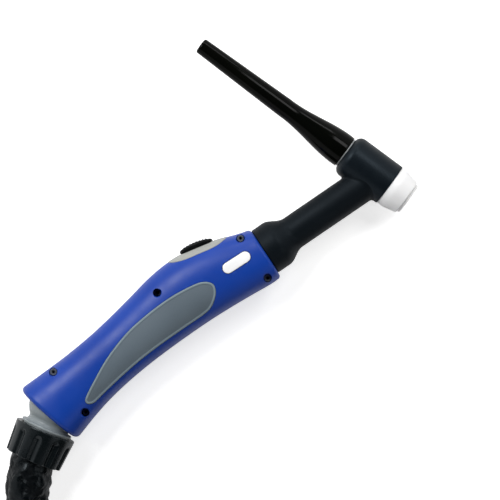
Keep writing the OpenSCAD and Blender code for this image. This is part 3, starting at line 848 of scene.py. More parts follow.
FINISHES: dict[str, Moulded | Hide | Metal] = {
    "shell": Moulded(
        "blue_shell", (12, 58, 151), (10, 52, 141), (74, 106, 188), (0.36, 0.46), 0.45, 0.012, level=0.28
    ),
    "inlay": Moulded(
        "grey_grip", (92, 104, 113), (85, 97, 106), (134, 144, 150), (0.52, 0.62), 0.5, 0.03, 0.5, level=0.35
    ),
    # The inlay's raised rim is painted a paler grey: a painted highlight where light catches the rim.
    "rim": Moulded(
        "grey_grip_rim_painted_highlight", (120, 135, 142), (112, 127, 134), (146, 157, 162), (0.5, 0.6), 0.5, 0.02, level=0.35
    ),
    "badge": Moulded("white_plate", (240, 240, 240), (234, 235, 237), (250, 250, 250), (0.28, 0.36), 0.8, 0.006, 0.0),
    "head_rubber": Moulded(
        "head_rubber", (11, 17, 22), (8, 13, 17), (34, 41, 48), (0.38, 0.48), 0.4, 0.02, 0.2,
        level=0.16, tint=(0.7, 0.86, 1.0, 1.0),
    ),
    "neck_rubber": Moulded(
        "neck_rubber", (11, 16, 20), (8, 12, 16), (32, 38, 44), (0.44, 0.54), 0.4, 0.02, 0.2,
        level=0.1, tint=(0.75, 0.88, 1.0, 1.0),
    ),
    "insulator": Moulded(
        "white_insulator", (240, 240, 240), (233, 233, 234), (247, 247, 247), (0.3, 0.4), 0.6, 0.006, 0.0, glow=0.15
    ),
    # The seal is a real ring. Its pale grey also stands in for the glint on the cap's edge, a painted highlight.
    "seal": Moulded("cap_seal", (176, 180, 180), (164, 168, 170), (190, 194, 194), (0.4, 0.5), 0.4, 0.01),
    "cap": Moulded("gloss_black", (4, 5, 4), (6, 7, 5), (34, 34, 32), (0.07, 0.12), 1.2, 0.004, 0.12, level=0.06),
    "switch_housing": Moulded(
        "warm_grey", (148, 150, 146), (140, 142, 139), (172, 174, 172), (0.46, 0.56), 0.45, 0.015
    ),
    "ball": Moulded("ball_grey", (131, 139, 142), (123, 131, 133), (182, 189, 194), (0.34, 0.44), 0.5, 0.012, 0.4),
    "button": Moulded("button_black", (9, 12, 13), (7, 9, 10), (40, 43, 44), (0.4, 0.5), 0.4, 0.015, level=0.12),
    "collar": Moulded(
        "collar_black", (11, 16, 18), (8, 12, 14), (54, 60, 64), (0.24, 0.32), 0.5, 0.016, 0.4,
        level=0.29, tint=(0.85, 0.94, 1.0, 1.0),
    ),
    "black_plastic": Moulded(
        "black_moulding", (18, 20, 22), (15, 17, 19), (54, 56, 58), (0.42, 0.54), 0.5, 0.02, 0.35, level=0.3
    ),
    "lead": Moulded("lead_jacket", (26, 26, 28), (22, 22, 24), (40, 40, 42), (0.5, 0.6), 0.4, 0.02, 0.1),
    "leather": Hide("hose_leather", (1, 2, 3), (5, 8, 10), (0.22, 0.4), 1.8, 0.36, 0.17, (0.82, 0.93, 1.0, 1.0)),
    "thread": Moulded("waxed_thread", (30, 32, 33), (24, 26, 27), (60, 62, 62), (0.5, 0.6), 0.2, 0.05, 0.2),
    "brass": Metal("turned_brass", (206, 172, 104), (176, 142, 80)),
    "bare_steel": Metal("bare_steel", (196, 198, 200), (160, 162, 166)),
    "screw": Moulded("zinc_steel", (84, 90, 100), (70, 76, 86), (140, 146, 154), (0.3, 0.42), 0.6, 0.008, 0.5),
}


class Studio:
    """Puts finished pieces on their bodies and reports them."""

    def __init__(self, nodes: dict[str, Piece]) -> None:
        """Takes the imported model's nodes."""
        self.nodes = nodes
        self.made: dict[str, Material] = {}

    def material(self, finish: str) -> Material:
        """Returns a finish's material, which is made once."""
        if finish not in self.made:
            self.made[finish] = FINISHES[finish].make()
        return self.made[finish]

    def settle(
        self, piece: Piece, body: Body, finish: str, replaces: Sequence[str] = ()
    ) -> Piece:
        """Dresses a piece and puts it on its body.

        Args:
            piece: The finished mesh.
            body: The body that it rides on.
            finish: Its finish, where it has no material yet.
            replaces: Nodes that it stands for.

        Returns:
            The piece.
        """
        if not any(piece.data.materials):
            piece.data.materials.clear()
            piece.data.materials.append(self.material(finish))
        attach(piece, body.value)
        if replaces:
            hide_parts(*replaces)
        LOG.info("%s rides on %s with %d faces", piece.name, body.value, len(piece.data.polygons))
        return piece

    def dress_nodes(self, finish: str, *names: str) -> None:
        """Gives carried-over nodes a finish."""
        for name in names:
            materials = self.nodes[name].data.materials
            materials.clear()
            materials.append(self.material(finish))
            LOG.info("%s keeps its own form in %s", name, finish)


# ---------------------------------------------------------------- geometry node trees
class Repeater(Wiring):
    """A geometry tree that repeats a small form, built in code and turned into a plain mesh."""

    def __init__(self, name: str, **sizes: float) -> None:
        """Starts a tree with a geometry input.

        Args:
            name: The tree's name.
            **sizes: Its named inputs with their values.
        """
        super().__init__(bpy.data.node_groups.new(name, "GeometryNodeTree"))
        self.sizes = sizes
        face = self.tree.interface
        face.new_socket("Geometry", in_out="INPUT", socket_type="NodeSocketGeometry")
        for label in sizes:
            face.new_socket(label, in_out="INPUT", socket_type="NodeSocketFloat")
        face.new_socket("Geometry", in_out="OUTPUT", socket_type="NodeSocketGeometry")
        self.given = self.add("NodeGroupInput").outputs

    def size(self, label: str, scale: float = MM) -> Socket:
        """Returns a named size in metres, or on another scale."""
        return self.math("MULTIPLY", self.given[label], scale)

    def vector(self, x: object, y: object, z: object) -> Socket:
        """Joins three numbers into a vector."""
        return self.add("ShaderNodeCombineXYZ", {"X": x, "Y": y, "Z": z}).outputs[0]

    def rod(self, line: Socket, radius: Socket, sides: int, caps: bool = False) -> Socket:
        """Wires a round rod.

        Args:
            line: The curve that it follows.
            radius: Its radius.
            sides: Its sides.
            caps: Whether its ends are closed.

        Returns:
            Its mesh.
        """
        ring = self.add("GeometryNodeCurvePrimitiveCircle", {"Resolution": sides, "Radius": radius})
        inputs = {"Curve": line, "Profile Curve": ring.outputs[0], "Fill Caps": caps}
        return self.add("GeometryNodeCurveToMesh", inputs).outputs[0]

    def cylinder(self, sides: int, radius: str, length: str, rise: float) -> Socket:
        """Wires an upright cylinder.

        Args:
            sides: Its sides.
            radius: The radius's name among the sizes.
            length: The length's name among them.
            rise: Share of its length that it is raised by.

        Returns:
            Its mesh.
        """
        inputs = {"Vertices": sides, "Radius": self.size(radius), "Depth": self.size(length)}
        form = self.add("GeometryNodeMeshCylinder", inputs).outputs["Mesh"]
        move = self.vector(0.0, 0.0, self.size(length, rise * MM))
        return self.add("GeometryNodeTransform", {"Geometry": form, "Translation": move}).outputs[0]

    def grow(
        self,
        name: str,
        form: Socket,
        points: Socket,
        material: Material,
        carrier: Piece,
        **turn: Socket,
    ) -> Piece:
        """Ends the tree in plain geometry and runs it.

        Args:
            name: The new piece's name.
            form: What is repeated.
            points: Where it is repeated.
            material: The material of all of it.
            carrier: The mesh that the tree starts from; it is removed.
            **turn: A Rotation for each point.

        Returns:
            A piece with a plain mesh.
        """
        placed = self.add("GeometryNodeInstanceOnPoints", {"Points": points, "Instance": form, **turn})
        real = self.add("GeometryNodeRealizeInstances", {"Geometry": placed.outputs[0]})
        smooth = self.add("GeometryNodeSetShadeSmooth", {"Geometry": real.outputs[0]})
        painted = self.add("GeometryNodeSetMaterial", {"Geometry": smooth.outputs[0], "Material": material})
        self.add("NodeGroupOutput", {"Geometry": painted.outputs[0]})
        change = carrier.modifiers.new(self.tree.name, "NODES")
        change.node_group = self.tree
        for item in self.tree.interface.items_tree:
            if item.in_out == "INPUT" and item.name in self.sizes:
                change[item.identifier] = float(self.sizes[item.name])
        mesh = evaluated(carrier)
        bpy.data.objects.remove(carrier)
        return add_object(name, mesh)


def point_carrier(name: str, points: Sequence[Vector], **directions: Sequence[Vector]) -> Piece:
    """Makes a mesh of loose points.

    Args:
        name: The mesh's name.
        points: The points.
        **directions: A direction for each point, as attributes of these names.

    Returns:
        The linked object.
    """
    mesh = plain_mesh(name, (p * MM for p in points), [])
    for label, vectors in directions.items():
        layer = mesh.attributes.new(label, "FLOAT_VECTOR", "POINT")
        layer.data.foreach_set("vector", [c for v in vectors for c in v])
    return add_object(name, mesh)


# ---------------------------------------------------------------- head
@dataclass
class Head:
    """Rubber-covered head with its insulator, long back cap and sealing ring."""

    radius: float = 13.75
    front: float = 3.0
    back: float = 30.5
    rounding: float = 5.0
    lip_bore: float = 9.5
    body_room: float = 8.15
    cap_room: float = 9.2
    neck_radius: float = 10.6
    bulb_radius: float = 15.4
    bulb_length: float = 20.4
    neck_length: float = 83.6
    lip_radius: float = 9.4
    face_lean: float = 0.0238
    fillet: float = 1.8
    sides: int = 160
    insulator_length: float = 14.8
    insulator_shoulder: float = 11.35
    insulator_front: float = 10.1
    cup_bore: float = 7.6
    collet_bore: float = 5.2
    seal_thickness: float = 0.9
    seal_bore: float = 6.9
    cap_length: float = 111.4
    cap_foot: float = 10.5
    cap_shank: float = 6.3
    cap_tip: float = 5.05
    cap_sweep: float = 42.0
    cap_bore: float = 2.6
    thread_pitch: float = 1.25
    axis: Place = field(default_factory=Place)

    def build(self, studio: Studio) -> None:
        """Builds and dresses the head."""
        cover = self.cover()
        for finish in ("head_rubber", "neck_rubber"):
            cover.data.materials.append(studio.material(finish))
        studio.settle(cover, Body.TORCH, "head_rubber", ("head_cover",))
        studio.settle(self.insulator(), Body.TORCH, "insulator", ("insulator",))
        studio.settle(self.seal(), Body.SEAL, "seal", ("cap_seal",))
        studio.settle(self.cap(), Body.CAP, "cap", ("back_cap",))
        studio.dress_nodes("brass", "head_body", "neck_tube")

    def cover(self) -> Piece:
        """Returns the rubber over head and neck as one piece."""
        turns = [math.radians(a) for a in range(0, 91, 6)]
        rear = [
            (-self.back + self.rounding - self.rounding * math.sin(a), self.radius - self.rounding * (1 - math.cos(a)))
            for a in turns
        ]
        mouth = [(0.05, self.lip_bore), (self.front, self.lip_bore, 0.2), (self.front, self.radius, 0.45)]
        inside = [(-self.back, 8.05, 0.2), (-29.4, 8.05), (-29.4, self.cap_room), (-19.3, self.cap_room)]
        inside += [(-19.3, self.body_room), (0.05, self.body_room)]
        barrel = revolve("head_rubber_barrel", self.axis, mouth + rear + inside, self.sides, True)
        neck = self.neck_mesh()
        for face in neck.data.polygons:
            face.material_index = 1
        work = bmesh.new()
        work.from_mesh(barrel.data)
        work.from_mesh(neck.data)
        work.to_mesh(barrel.data)
        work.free()
        bpy.data.objects.remove(neck)
        barrel.data.set_sharp_from_angle(angle=math.radians(35))
        barrel.name = "head_rubber_cover"
        return barrel

    def meet(self, angle: float) -> float:
        """Returns where a line along the neck's surface meets the barrel."""
        across, up = self.neck_radius * math.cos(angle), self.neck_radius * math.sin(angle)
        tilt = math.radians(NECK.turn)
        wanted = math.sqrt(max(self.radius**2 - up**2, 0.0))
        return (-wanted - across * math.cos(tilt)) / math.sin(tilt)

    def flare(self, angle: float, steps: int = 7) -> list[Vector]:
        """Draws the fillet from the neck onto the barrel and into it.

        Args:
            angle: Angle round the neck.
            steps: Stretches of the fillet.

        Returns:
            The fillet's points at this angle.
        """
        out = NECK.direction(0, math.cos(angle), math.sin(angle))
        crossing = NECK.polar(self.meet(angle), self.neck_radius, angle)
        away = Vector((0, crossing.y, crossing.z)).normalized()
        slide = (out - away * out.dot(away)).normalized()
        before = crossing - NECK.direction(self.fillet)
        past = crossing + slide * self.fillet
        middle, outward = Vector((past.x, 0, 0)), Vector((0, past.y, past.z)).normalized()
        on_barrel = middle + outward * (self.radius - 0.02)
        curve = [bend(before, crossing, on_barrel, k / steps) for k in range(steps + 1)]
        return [*curve, middle + outward * (self.radius - 1.2)]

    def neck_mesh(self) -> Piece:
        """Returns the neck with its bulb, filleted into the barrel."""
        face = -self.neck_length
        start = face + 0.4 + self.bulb_length
        cone = self.bulb_length * 0.62
        rows = [(face - 4, 0.0), (face - 4, self.lip_radius), (face, self.lip_radius)]
        rows += [(face, self.bulb_radius - 0.5, 0.2), (face + 0.6, self.bulb_radius - 0.03, 0.4)]
        for k in range(40, -1, -1):
            rise = (1 - math.cos(math.pi * k / 40)) / 2
            rows.append((start - cone * k / 40, self.neck_radius + (self.bulb_radius - self.neck_radius) * rise))
        skin = Skin()
        for p in soften(rows):
            lean = self.face_lean if p.x < face + 1 else 0.0
            skin.ring(
                NECK.polar(p.x - lean * (15.2 - p.y * math.cos(a)), p.y, a)
                for a in angles(self.sides if p.y > POLE else 1)
            )
        for x in (-58.0, -52.0, -46.0, -40.0, -34.0, -28.0):
            skin.ring(NECK.polar(x, self.neck_radius, a) for a in angles(self.sides))
        for row in zip(*(self.flare(a) for a in angles(self.sides))):
            skin.ring(row)
        skin.ring([NECK.point(-10.5)])
        return skin.piece("neck_rubber")

    def insulator(self) -> Piece:
        """Returns the white ring with its stepped mouth."""
        tip = self.front + self.insulator_length
        body, lip = self.radius - 0.5, self.insulator_front
        profile = [
            (0.1, self.collet_bore, 0.2),
            (0.1, 9.4, 0.3),
            (self.front, 9.4),
            (self.front, body - 0.1, 0.25),
            (self.front + 4.5, body, 14),
            (tip - 1.75, self.insulator_shoulder, 1.3),
            (tip - 1.72, lip - 0.15, 0.08),
            (tip - 1.5, lip - 0.15, 0.08),
            (tip - 1.42, lip, 0.05),
            (tip, lip - 0.25, 0.6),
            (tip, self.cup_bore, 0.5),
            (tip - 6, self.cup_bore, 0.4),
            (tip - 6, self.collet_bore, 0.3),
        ]
        return revolve("cup_insulator", self.axis, profile, self.sides, True)

    def seal(self) -> Piece:
        """Returns the ring under the back cap, a hair below the brass; its pale grey stands partly for the glint on the
        cap's edge, a painted highlight.
        """
        at, top = -self.back - self.seal_thickness, -self.back - 0.04
        edge = self.seal_thickness / 2
        outer = self.radius - self.rounding + 1
        profile = [(at, self.seal_bore, 0.15), (at, outer, edge), (top, outer, edge), (top, self.seal_bore, 0.15)]
        return revolve("cap_seal_ring", self.axis, profile, closed=True)

    def cap(self) -> Piece:
        """Returns the long back cap with its bore and thread."""
        at = -self.back - self.seal_thickness
        tip, end = at - self.cap_length, at + self.seal_thickness + 9.0
        half = (self.cap_foot - self.cap_shank) / 2
        profile = [(tip + 4, 0.0), (tip + 4, self.cap_bore), (end, self.cap_bore, 0.2), (end, 6.2, 0.25)]
        for k in range(int((end - at - 1.6) / self.thread_pitch)):
            x = end - 0.5 - k * self.thread_pitch
            profile += [(x, 6.55), (x - 0.3, 6.55), (x - 0.62, 6.1), (x - 0.93, 6.1)]
        profile += [(at + 0.02, 6.2), (at + 0.02, self.cap_foot - 0.15, 0.35), (at - 2.4, self.cap_foot)]
        for k in range(41):
            a = math.pi * k / 40
            waist = self.cap_shank + half * (math.cos(a) + 1) - 0.35 * math.sin(a)
            profile.append((at - 5 - self.cap_sweep * k / 40, waist))
        return revolve("long_back_cap", self.axis, [*profile, (tip, self.cap_tip, 1.5), (tip, 0.0)], self.sides)


# ---------------------------------------------------------------- handle
@dataclass
class HandleForm:
    """The handle's lofted outside, in the neck's frame.

    Attributes:
        front: Distance from the head's axis to the handle's front face.
        roundness: Power of the sections' rounded outline.
        front_rim: Rounding of the front face's edge.
        rear_rim: Rounding of the rear face's edge.
        sections: Rows of top's distance and height, bottom's distance and height, and half width.
    """

    front: float = 83.6
    roundness: float = 2.4
    front_rim: float = 2.1
    rear_rim: float = 3.1
    sections: tuple[tuple[float, ...], ...] = (
        (0, 16.5, 0.8, -18.6, 17.0),
        (8, 18.6, 8, -18.8, 17.2),
        (21, 23, 21, -17.8, 17.8),
        (36, 26.8, 36, -16.8, 18.2),
        (52, 28.4, 52, -16.2, 18.4),
        (68, 27.2, 68, -16.2, 18.1),
        (85, 23.8, 84, -16.6, 17.6),
        (102, 20.6, 99, -17.4, 17.2),
        (119, 18, 115, -19, 17.3),
        (137, 16.3, 130, -21.4, 18),
        (154, 15.5, 144, -24.8, 19),
        (173.2, 15, 161.6, -30.2, 20.5),
    )

    @property
    def last(self) -> int:
        """Returns the last section's number."""
        return len(self.sections) - 1

    def row(self, i: int) -> Vector:
        """Returns a section, run on past either end."""
        if i < 0:
            return 2 * Vector(self.sections[0]) - Vector(self.sections[1])
        if i > self.last:
            return 2 * Vector(self.sections[-1]) - Vector(self.sections[-2])
        return Vector(self.sections[i])

    def section(self, u: float) -> tuple[Vector, float, float, float]:
        """Works out a section, between the rows too.

        Args:
            u: The section, as a row's number with a share.

        Returns:
            Its middle, turn, half height and half width.
        """
        i = min(int(u), self.last - 1)
        s = through(self.row(i - 1), self.row(i), self.row(i + 1), self.row(i + 2), u - i)
        top, bottom = Vector((-self.front - s[0], s[1])), Vector((-self.front - s[2], s[3]))
        rise = top - bottom
        return (top + bottom) / 2, math.atan2(-rise.x, rise.y), rise.length / 2, s[4]

    def swell(self, value: float) -> float:
        """Returns a share of the half size on the rounded outline."""
        return math.copysign(abs(value) ** (2 / self.roundness), value)

    def stations(self, steps: int = 14) -> list[Pair]:
        """Spaces sections from the front face to the rear one, with both rounded rims.

        Args:
            steps: Sections to each row.

        Returns:
            Rows of a section's number and how far it is drawn in.
        """
        first = (self.section(1)[0] - self.section(0)[0]).length
        final = (self.section(self.last)[0] - self.section(self.last - 1)[0]).length
        turns = [math.radians(90 * k / 9) for k in range(10)]
        rims = [(1 - math.cos(t), 1 - math.sin(t)) for t in turns]
        rows = [(self.front_rim * along / first, self.front_rim * inset) for along, inset in rims]
        start, end = self.front_rim / first, self.last - self.rear_rim / final
        count = round((end - start) * steps)
        rows += [(start + (end - start) * k / count, 0.0) for k in range(1, count)]
        rows += [(self.last - self.rear_rim * along / final, self.rear_rim * inset) for along, inset in rims[::-1]]
        return rows

    def at(self, u: float, y: float, z: float) -> Vector:
        """Returns a point of a section."""
        middle, turn, _, _ = self.section(u)
        return Vector((middle.x - y * math.sin(turn), middle.y + y * math.cos(turn), z))

    def whole_ring(self, u: float, inset: float, sides: int = 120) -> list[Vector]:
        """Returns a section's outline."""
        _, _, height, width = self.section(u)
        h, w = height - inset, width - inset
        return [self.at(u, h * self.swell(math.cos(a)), w * self.swell(math.sin(a))) for a in angles(sides)]

    def half_ring(self, u: float, inset: float, side: int, gap: float, lip: float) -> list[Vector]:
        """Draws one shell's half of a section, from top to bottom, with softened seam edges.

        Args:
            u: The section.
            inset: How far it is drawn in.
            side: The sign of the shell's Z.
            gap: Distance from the seam's plane.
            lip: Size of the seam's softened edge.

        Returns:
            The half's points.
        """
        _, _, height, width = self.section(u)
        h, w = height - inset, width - inset
        edges = [math.radians(30 * k) for k in range(4)]
        half = [(h - lip * (1 - math.sin(t)), gap + lip * (1 - math.cos(t))) for t in edges]
        steps = 52
        first = math.asin(((gap + lip + 0.4) / w) ** (self.roundness / 2))
        for k in range(steps + 1):
            a = first + (math.pi - 2 * first) * k / steps
            half.append((h * self.swell(math.cos(a)), w * self.swell(math.sin(a))))
        half += [(-y, z) for y, z in half[3::-1]]
        return [self.at(u, y, side * z) for y, z in half]


class Surface:
    """A closed mesh of the handle's outside that pads and shading are taken from."""

    def __init__(self, form: HandleForm) -> None:
        """Meshes the form in the neck's frame."""
        skin = Skin()
        for u, inset in form.stations():
            skin.ring(form.whole_ring(u, inset))
        self.points, self.faces = skin.points, join_rings(skin.rings)
        self.tree = BVHTree.FromPolygons(self.points, self.faces)
        normals = [Vector() for _ in self.points]
        for face in self.faces:
            a, b, c = (self.points[i] for i in face[:3])
            across = (b - a).cross(c - a)
            for i in face:
                normals[i] += across
        centre = sum(self.points, Vector()) / len(self.points)
        facing = sum(n.dot(p - centre) for n, p in zip(normals, self.points))
        sign = 1 if facing > 0 else -1
        self.normals = [(sign * n).normalized() for n in normals]

    def shade(self, at: Vector, face: int) -> Vector:
        """Returns the smooth outward direction at a point of a face."""
        corners = self.faces[face]
        shares = interpolate.poly_3d_calc([self.points[i] for i in corners], at)
        return sum((self.normals[i] * share for share, i in zip(shares, corners)), Vector()).normalized()

    def drop(self, start: Vector, towards: Vector) -> tuple[Vector, Vector]:
        """Finds the first point of the surface along a line.

        Args:
            start: Where the line starts.
            towards: Its direction.

        Returns:
            The point and the outward direction there.
        """
        at, _, face, _ = self.tree.ray_cast(start, towards)
        if at is None:
            at, _, face, _ = self.tree.find_nearest(start + towards * (start.length * 0.2))
        return at, self.shade(at, face)

    def nearest(self, point: Vector) -> tuple[Vector, float]:
        """Returns the outward direction at the nearest point, and its distance."""
        at, _, face, away = self.tree.find_nearest(point)
        return self.shade(at, face), away


@dataclass
class Handle:
    """Two blue shells with grip inlays, a badge, screws and the switch.

    Attributes:
        screws: Rows of the section and the distance from its top, or from its bottom where negative.
        crescent: The inlay's outline, as distance behind the front face and height.
        button: The button's length, width and height.
        swing: The ball's turns from rest at both ends of its swing.
        neck_room: Profile of the room that the ball's neck and flange need there.
    """

    form: HandleForm = field(default_factory=HandleForm)
    seam_gap: float = 0.04
    seam_lip: float = 0.3
    socket: float = 17.3
    inlay_depth: float = 1.5
    inlay_gap: float = 0.16
    # Width of the band along the inlay's outline that is painted paler grey as a highlight.
    painted_rim_highlight_width: float = 1.35
    recess: float = 2.6
    screw_seat: float = 6.0
    head_height: float = 2.4
    screws: tuple[Pair, ...] = ((1, 3.2), (1, -4.4), (5.07, 10.4), (9.8, 3.3), (10.1, -6))
    crescent: tuple[Pair, ...] = (
        (141.6, -12), (130, -5.4), (118.4, 0.3), (106.4, 4.6), (94.4, 7.6), (80, 9.3), (66, 9.8),
        (54.4, 9), (44, 7.1), (38.9, 3.8), (37.5, 0), (40, -4.9), (45.8, -9.3), (53, -10.9), (72, -11),
        (90, -11.4), (106, -12.6), (122, -14.8), (133, -16.7), (139.5, -17.6), (143, -15.6),
    )
    badge: Pair = (20.0, 7.6)
    badge_place: Place = field(default_factory=lambda: Place(-102.0, 4.4, 0.0, -1.5))
    module: Pair = (40.0, 26.0)
    module_power: float = 0.7
    button: tuple[float, float, float] = (21.8, 12.0, 3.3)
    button_end: float = 1.7
    rib_step: float = 2.1
    swing: Pair = (4.0, -37.5)
    neck_room: tuple[Pair, ...] = (
        (8, 0), (10.4, 13.8), (11.3, 13.55), (12.3, 13.4), (13.6, 14.3), (14.1, 15.3), (14.1, 16.8),
        (17.5, 16.8), (17.5, 0),
    )

    def build(self, studio: Studio) -> None:
        """Builds and dresses the handle."""
        self.surface = Surface(self.form)
        for side in Side:
            word = side.name.lower()
            studio.settle(self.shell(side), Body.TORCH, "shell", (f"shell_{word}",))
            studio.settle(self.inlay(side, studio), Body.TORCH, "inlay", (f"inlay_{word}",))
        studio.settle(self.badge_plate(), Body.TORCH, "badge", ("badge",))
        studio.settle(self.housing(), Body.TORCH, "switch_housing", ("switch_housing",))
        studio.settle(self.button_dome(), Body.BUTTON, "button", ("switch_button",))
        studio.settle(self.button_ribs(studio), Body.BUTTON, "button")
        studio.settle(self.screw_heads(studio), Body.TORCH, "screw", ("handle_screws",))
        studio.dress_nodes("black_plastic", "micro_switch", "cable_bush")
        studio.dress_nodes("switch_housing", "switch_plunger")
        studio.dress_nodes("lead", "switch_lead", "power_cable")
        studio.dress_nodes("brass", "cable_nut", "cable_ferrule")

    def lift(self, place: Callable[[Vector], Vector], towards: Vector) -> Lift:
        """Makes the lift that drops points onto the surface.

        Args:
            place: Puts a point of the plane over the surface.
            towards: The direction of the drop.

        Returns:
            The lift.
        """

        def dropped(p: Vector) -> tuple[Vector, Vector]:
            """Drops a point."""
            at, out = self.surface.drop(place(p), towards)
            return NECK.point(*at), NECK.direction(*out)

        return dropped

    def side_lift(self, side: Side, far: float = 60) -> Lift:
        """Returns the lift onto one side of the handle, from the plane of the torch."""
        return self.lift(lambda p: Vector((p.x, p.y, far * side.value)), Vector((0, 0, -side.value)))

    def top_lift(self, far: float = 40.0) -> Lift:
        """Returns the lift onto the handle's top, from the plane under the switch."""
        return self.lift(lambda p: SWITCH_IN_NECK.point(p.x, far, -p.y), SWITCH_IN_NECK.direction(0, -1))

    def crescent_loop(self, gap: float) -> list[Vector]:
        """Returns the inlay's outline, drawn in by gap."""
        return drawn_in(smooth_loop([(-self.form.front - x, y) for x, y in self.crescent], 12), gap)

    def badge_loop(self, gap: float) -> list[Vector]:
        """Returns the badge's outline, drawn in by gap."""
        loop = stadium(self.badge[0] - 2 * gap, self.badge[1] - 2 * gap)
        return [self.badge_place.point(p.x, p.y).to_2d() for p in loop]

    def module_loop(self, gap: float) -> list[Vector]:
        """Returns the switch housing's outline, drawn in by gap."""
        return blunt_oval(self.module[0] - 2 * gap, self.module[1] - 2 * gap, self.module_power)

    def screw_at(self, screw: Pair, z: float) -> Vector:
        """Returns a point of a screw's axis in the neck's frame."""
        _, _, height, _ = self.form.section(screw[0])
        return self.form.at(screw[0], math.copysign(height, screw[1]) - screw[1], z)

    def shell(self, side: Side) -> Piece:
        """Makes one shell with its pockets cut.

        Args:
            side: Which shell.

        Returns:
            The shell.
        """
        skin = Skin()
        for u, inset in self.form.stations():
            half = self.form.half_ring(u, inset, side.value, self.seam_gap, self.seam_lip)
            skin.ring(NECK.point(*p) for p in half)
        faces = join_rings(skin.rings) + [skin.rings[0], skin.rings[-1]]
        shell = make_piece(f"handle_shell_{side.name.lower()}", skin.points, faces)
        turns = [math.radians(a) for a in range(180, -1, -4)]
        socket = [(self.socket * math.cos(a), self.socket * math.sin(a)) for a in turns]
        onto, deep = self.side_lift(side), self.inlay_depth
        cutters = [
            revolve("neck_hole", NECK, [(-92, 0), (-92, 9.7), (-80, 9.7), (-80, 0)], 96),
            revolve("ball_socket", BALL, socket),
            *(revolve("neck_room", BALL.within(0, 0, turn), self.neck_room) for turn in self.swing),
            pad("switch_seat", self.module_loop(0), [(0, -9), (0, 6)], self.top_lift(), spacing=3.0),
            pad("grip_pocket", self.crescent_loop(0), [(0, -deep), (0, 4)], onto, spacing=3.0),
        ]
        if side is Side.RIGHT:
            cutters.append(pad("badge_pocket", self.badge_loop(0), [(0, -1.0), (0, 4)], onto, spacing=2.0))
            cutters += [self.recess_cutter(screw, i) for i, screw in enumerate(self.screws)]
        carve(shell, cutters)
        self.shade_shell(shell)
        return shell

    def recess_cutter(self, screw: Pair, number: int, sides: int = 48) -> Piece:
        """Makes what is cut out over a screw, with a softened mouth.

        Args:
            screw: The screw's row.
            number: Its number.
            sides: Corners round the recess.

        Returns:
            The cutter.
        """
        top, _ = self.surface.drop(self.screw_at(screw, 60), Vector((0, 0, -1)))
        centre = NECK.point(*self.screw_at(screw, 0))
        mouth = self.recess + 0.5
        rows = [(self.screw_seat, 0), (self.screw_seat, self.recess), (top.z - 0.4, self.recess)]
        rows += [(top.z + 0.2, mouth), (top.z + 4, mouth), (top.z + 4, 0)]
        skin = Skin()
        for z, r in rows:
            skin.ring(centre + Vector((r * math.cos(a), r * math.sin(a), z)) for a in angles(sides if r else 1))
        return skin.piece(f"screw_recess_{number}")

    def shade_shell(self, shell: Piece) -> None:
        """Takes the shading of the shell's outside from the smooth form, and leaves the cuts their own."""
        mesh = shell.data
        mesh.shade_smooth()
        mesh.set_sharp_from_angle(angle=math.radians(35))
        on_surface, facing = 0.06, 0.93
        shades: list[Vector] = [Vector() for _ in mesh.loops]
        places = [NECK.local(v.co / MM) for v in mesh.vertices]
        for face in mesh.polygons:
            for loop in face.loop_indices:
                place = places[mesh.loops[loop].vertex_index]
                if abs(place.z) < self.seam_gap + self.seam_lip + 0.05:
                    continue
                out, away = self.surface.nearest(place)
                out = NECK.direction(*out)
                if away < on_surface and face.normal.dot(out) > facing:
                    shades[loop] = out
        mesh.normals_split_custom_set(shades)

    def inlay(self, side: Side, studio: Studio) -> Piece:
        """Makes a grip inlay with a raised rim, painted paler grey along it as a highlight.

        Args:
            side: The shell that it lies in.
            studio: Where the materials come from.

        Returns:
            The inlay.
        """
        rise = [(0, -1.4), (0, -0.15), (0.06, 0.05), (0.22, 0.2), (0.6, 0.26), (1.0, 0.22), (1.3, 0.08)]
        rise += [(1.5, -0.04), (1.9, -0.06)]
        name = f"grip_inlay_{side.name.lower()}"
        piece = pad(name, self.crescent_loop(self.inlay_gap), rise, self.side_lift(side))
        # The second material is the rim's paler grey, a painted highlight; faces in the band along the outline take it.
        for finish in ("inlay", "rim"):
            piece.data.materials.append(studio.material(finish))
        loop = self.crescent_loop(self.inlay_gap + self.painted_rim_highlight_width)
        for face in piece.data.polygons:
            face.material_index = 0 if holds(loop, NECK.local(face.center / MM)) else 1
        return piece

    def badge_plate(self) -> Piece:
        """Returns the bare oblong plate."""
        rise = [(0, -0.65), (0, 0.05), (0.08, 0.2), (0.25, 0.3), (0.5, 0.33)]
        return pad("blank_badge", self.badge_loop(0.45), rise, self.side_lift(Side.RIGHT), spacing=1.2)

    def housing(self) -> Piece:
        """Returns the switch housing, which follows the handle's top."""
        length, width, _ = self.button
        rise = [(0, -6), (0, -0.1), (0.12, 0.12), (0.35, 0.22), (0.7, 0.25)]
        hole = stadium(length + 1.0, width + 1.0)
        return pad("switch_module", self.module_loop(0.15), rise, self.top_lift(), hole, 1.2)

    def dome(self) -> float:
        """Returns the radius of the button's top, whose ends stay a little proud."""
        length, _, height = self.button
        rise = height - self.button_end
        return (length**2 / 4 + rise**2) / (2 * rise)

    def button_dome(self) -> Piece:
        """Returns the button."""
        length, width, height = self.button
        radius = self.dome()

        def lift(p: Vector) -> tuple[Vector, Vector]:
            """Raises a point onto the button's top."""
            rise = math.sqrt(radius**2 - p.x**2)
            return SWITCH.point(p.x, height - radius + rise, -p.y), SWITCH.direction(0, 1)

        rise = [(0.5, -4.3), (0.5, -2.2), (0, -1.7), (0, -1.0), (0.08, -0.62), (0.3, -0.3), (0.7, -0.08), (1.2, 0.0)]
        return pad("switch_button_dome", stadium(length, width), rise, lift, spacing=0.9)

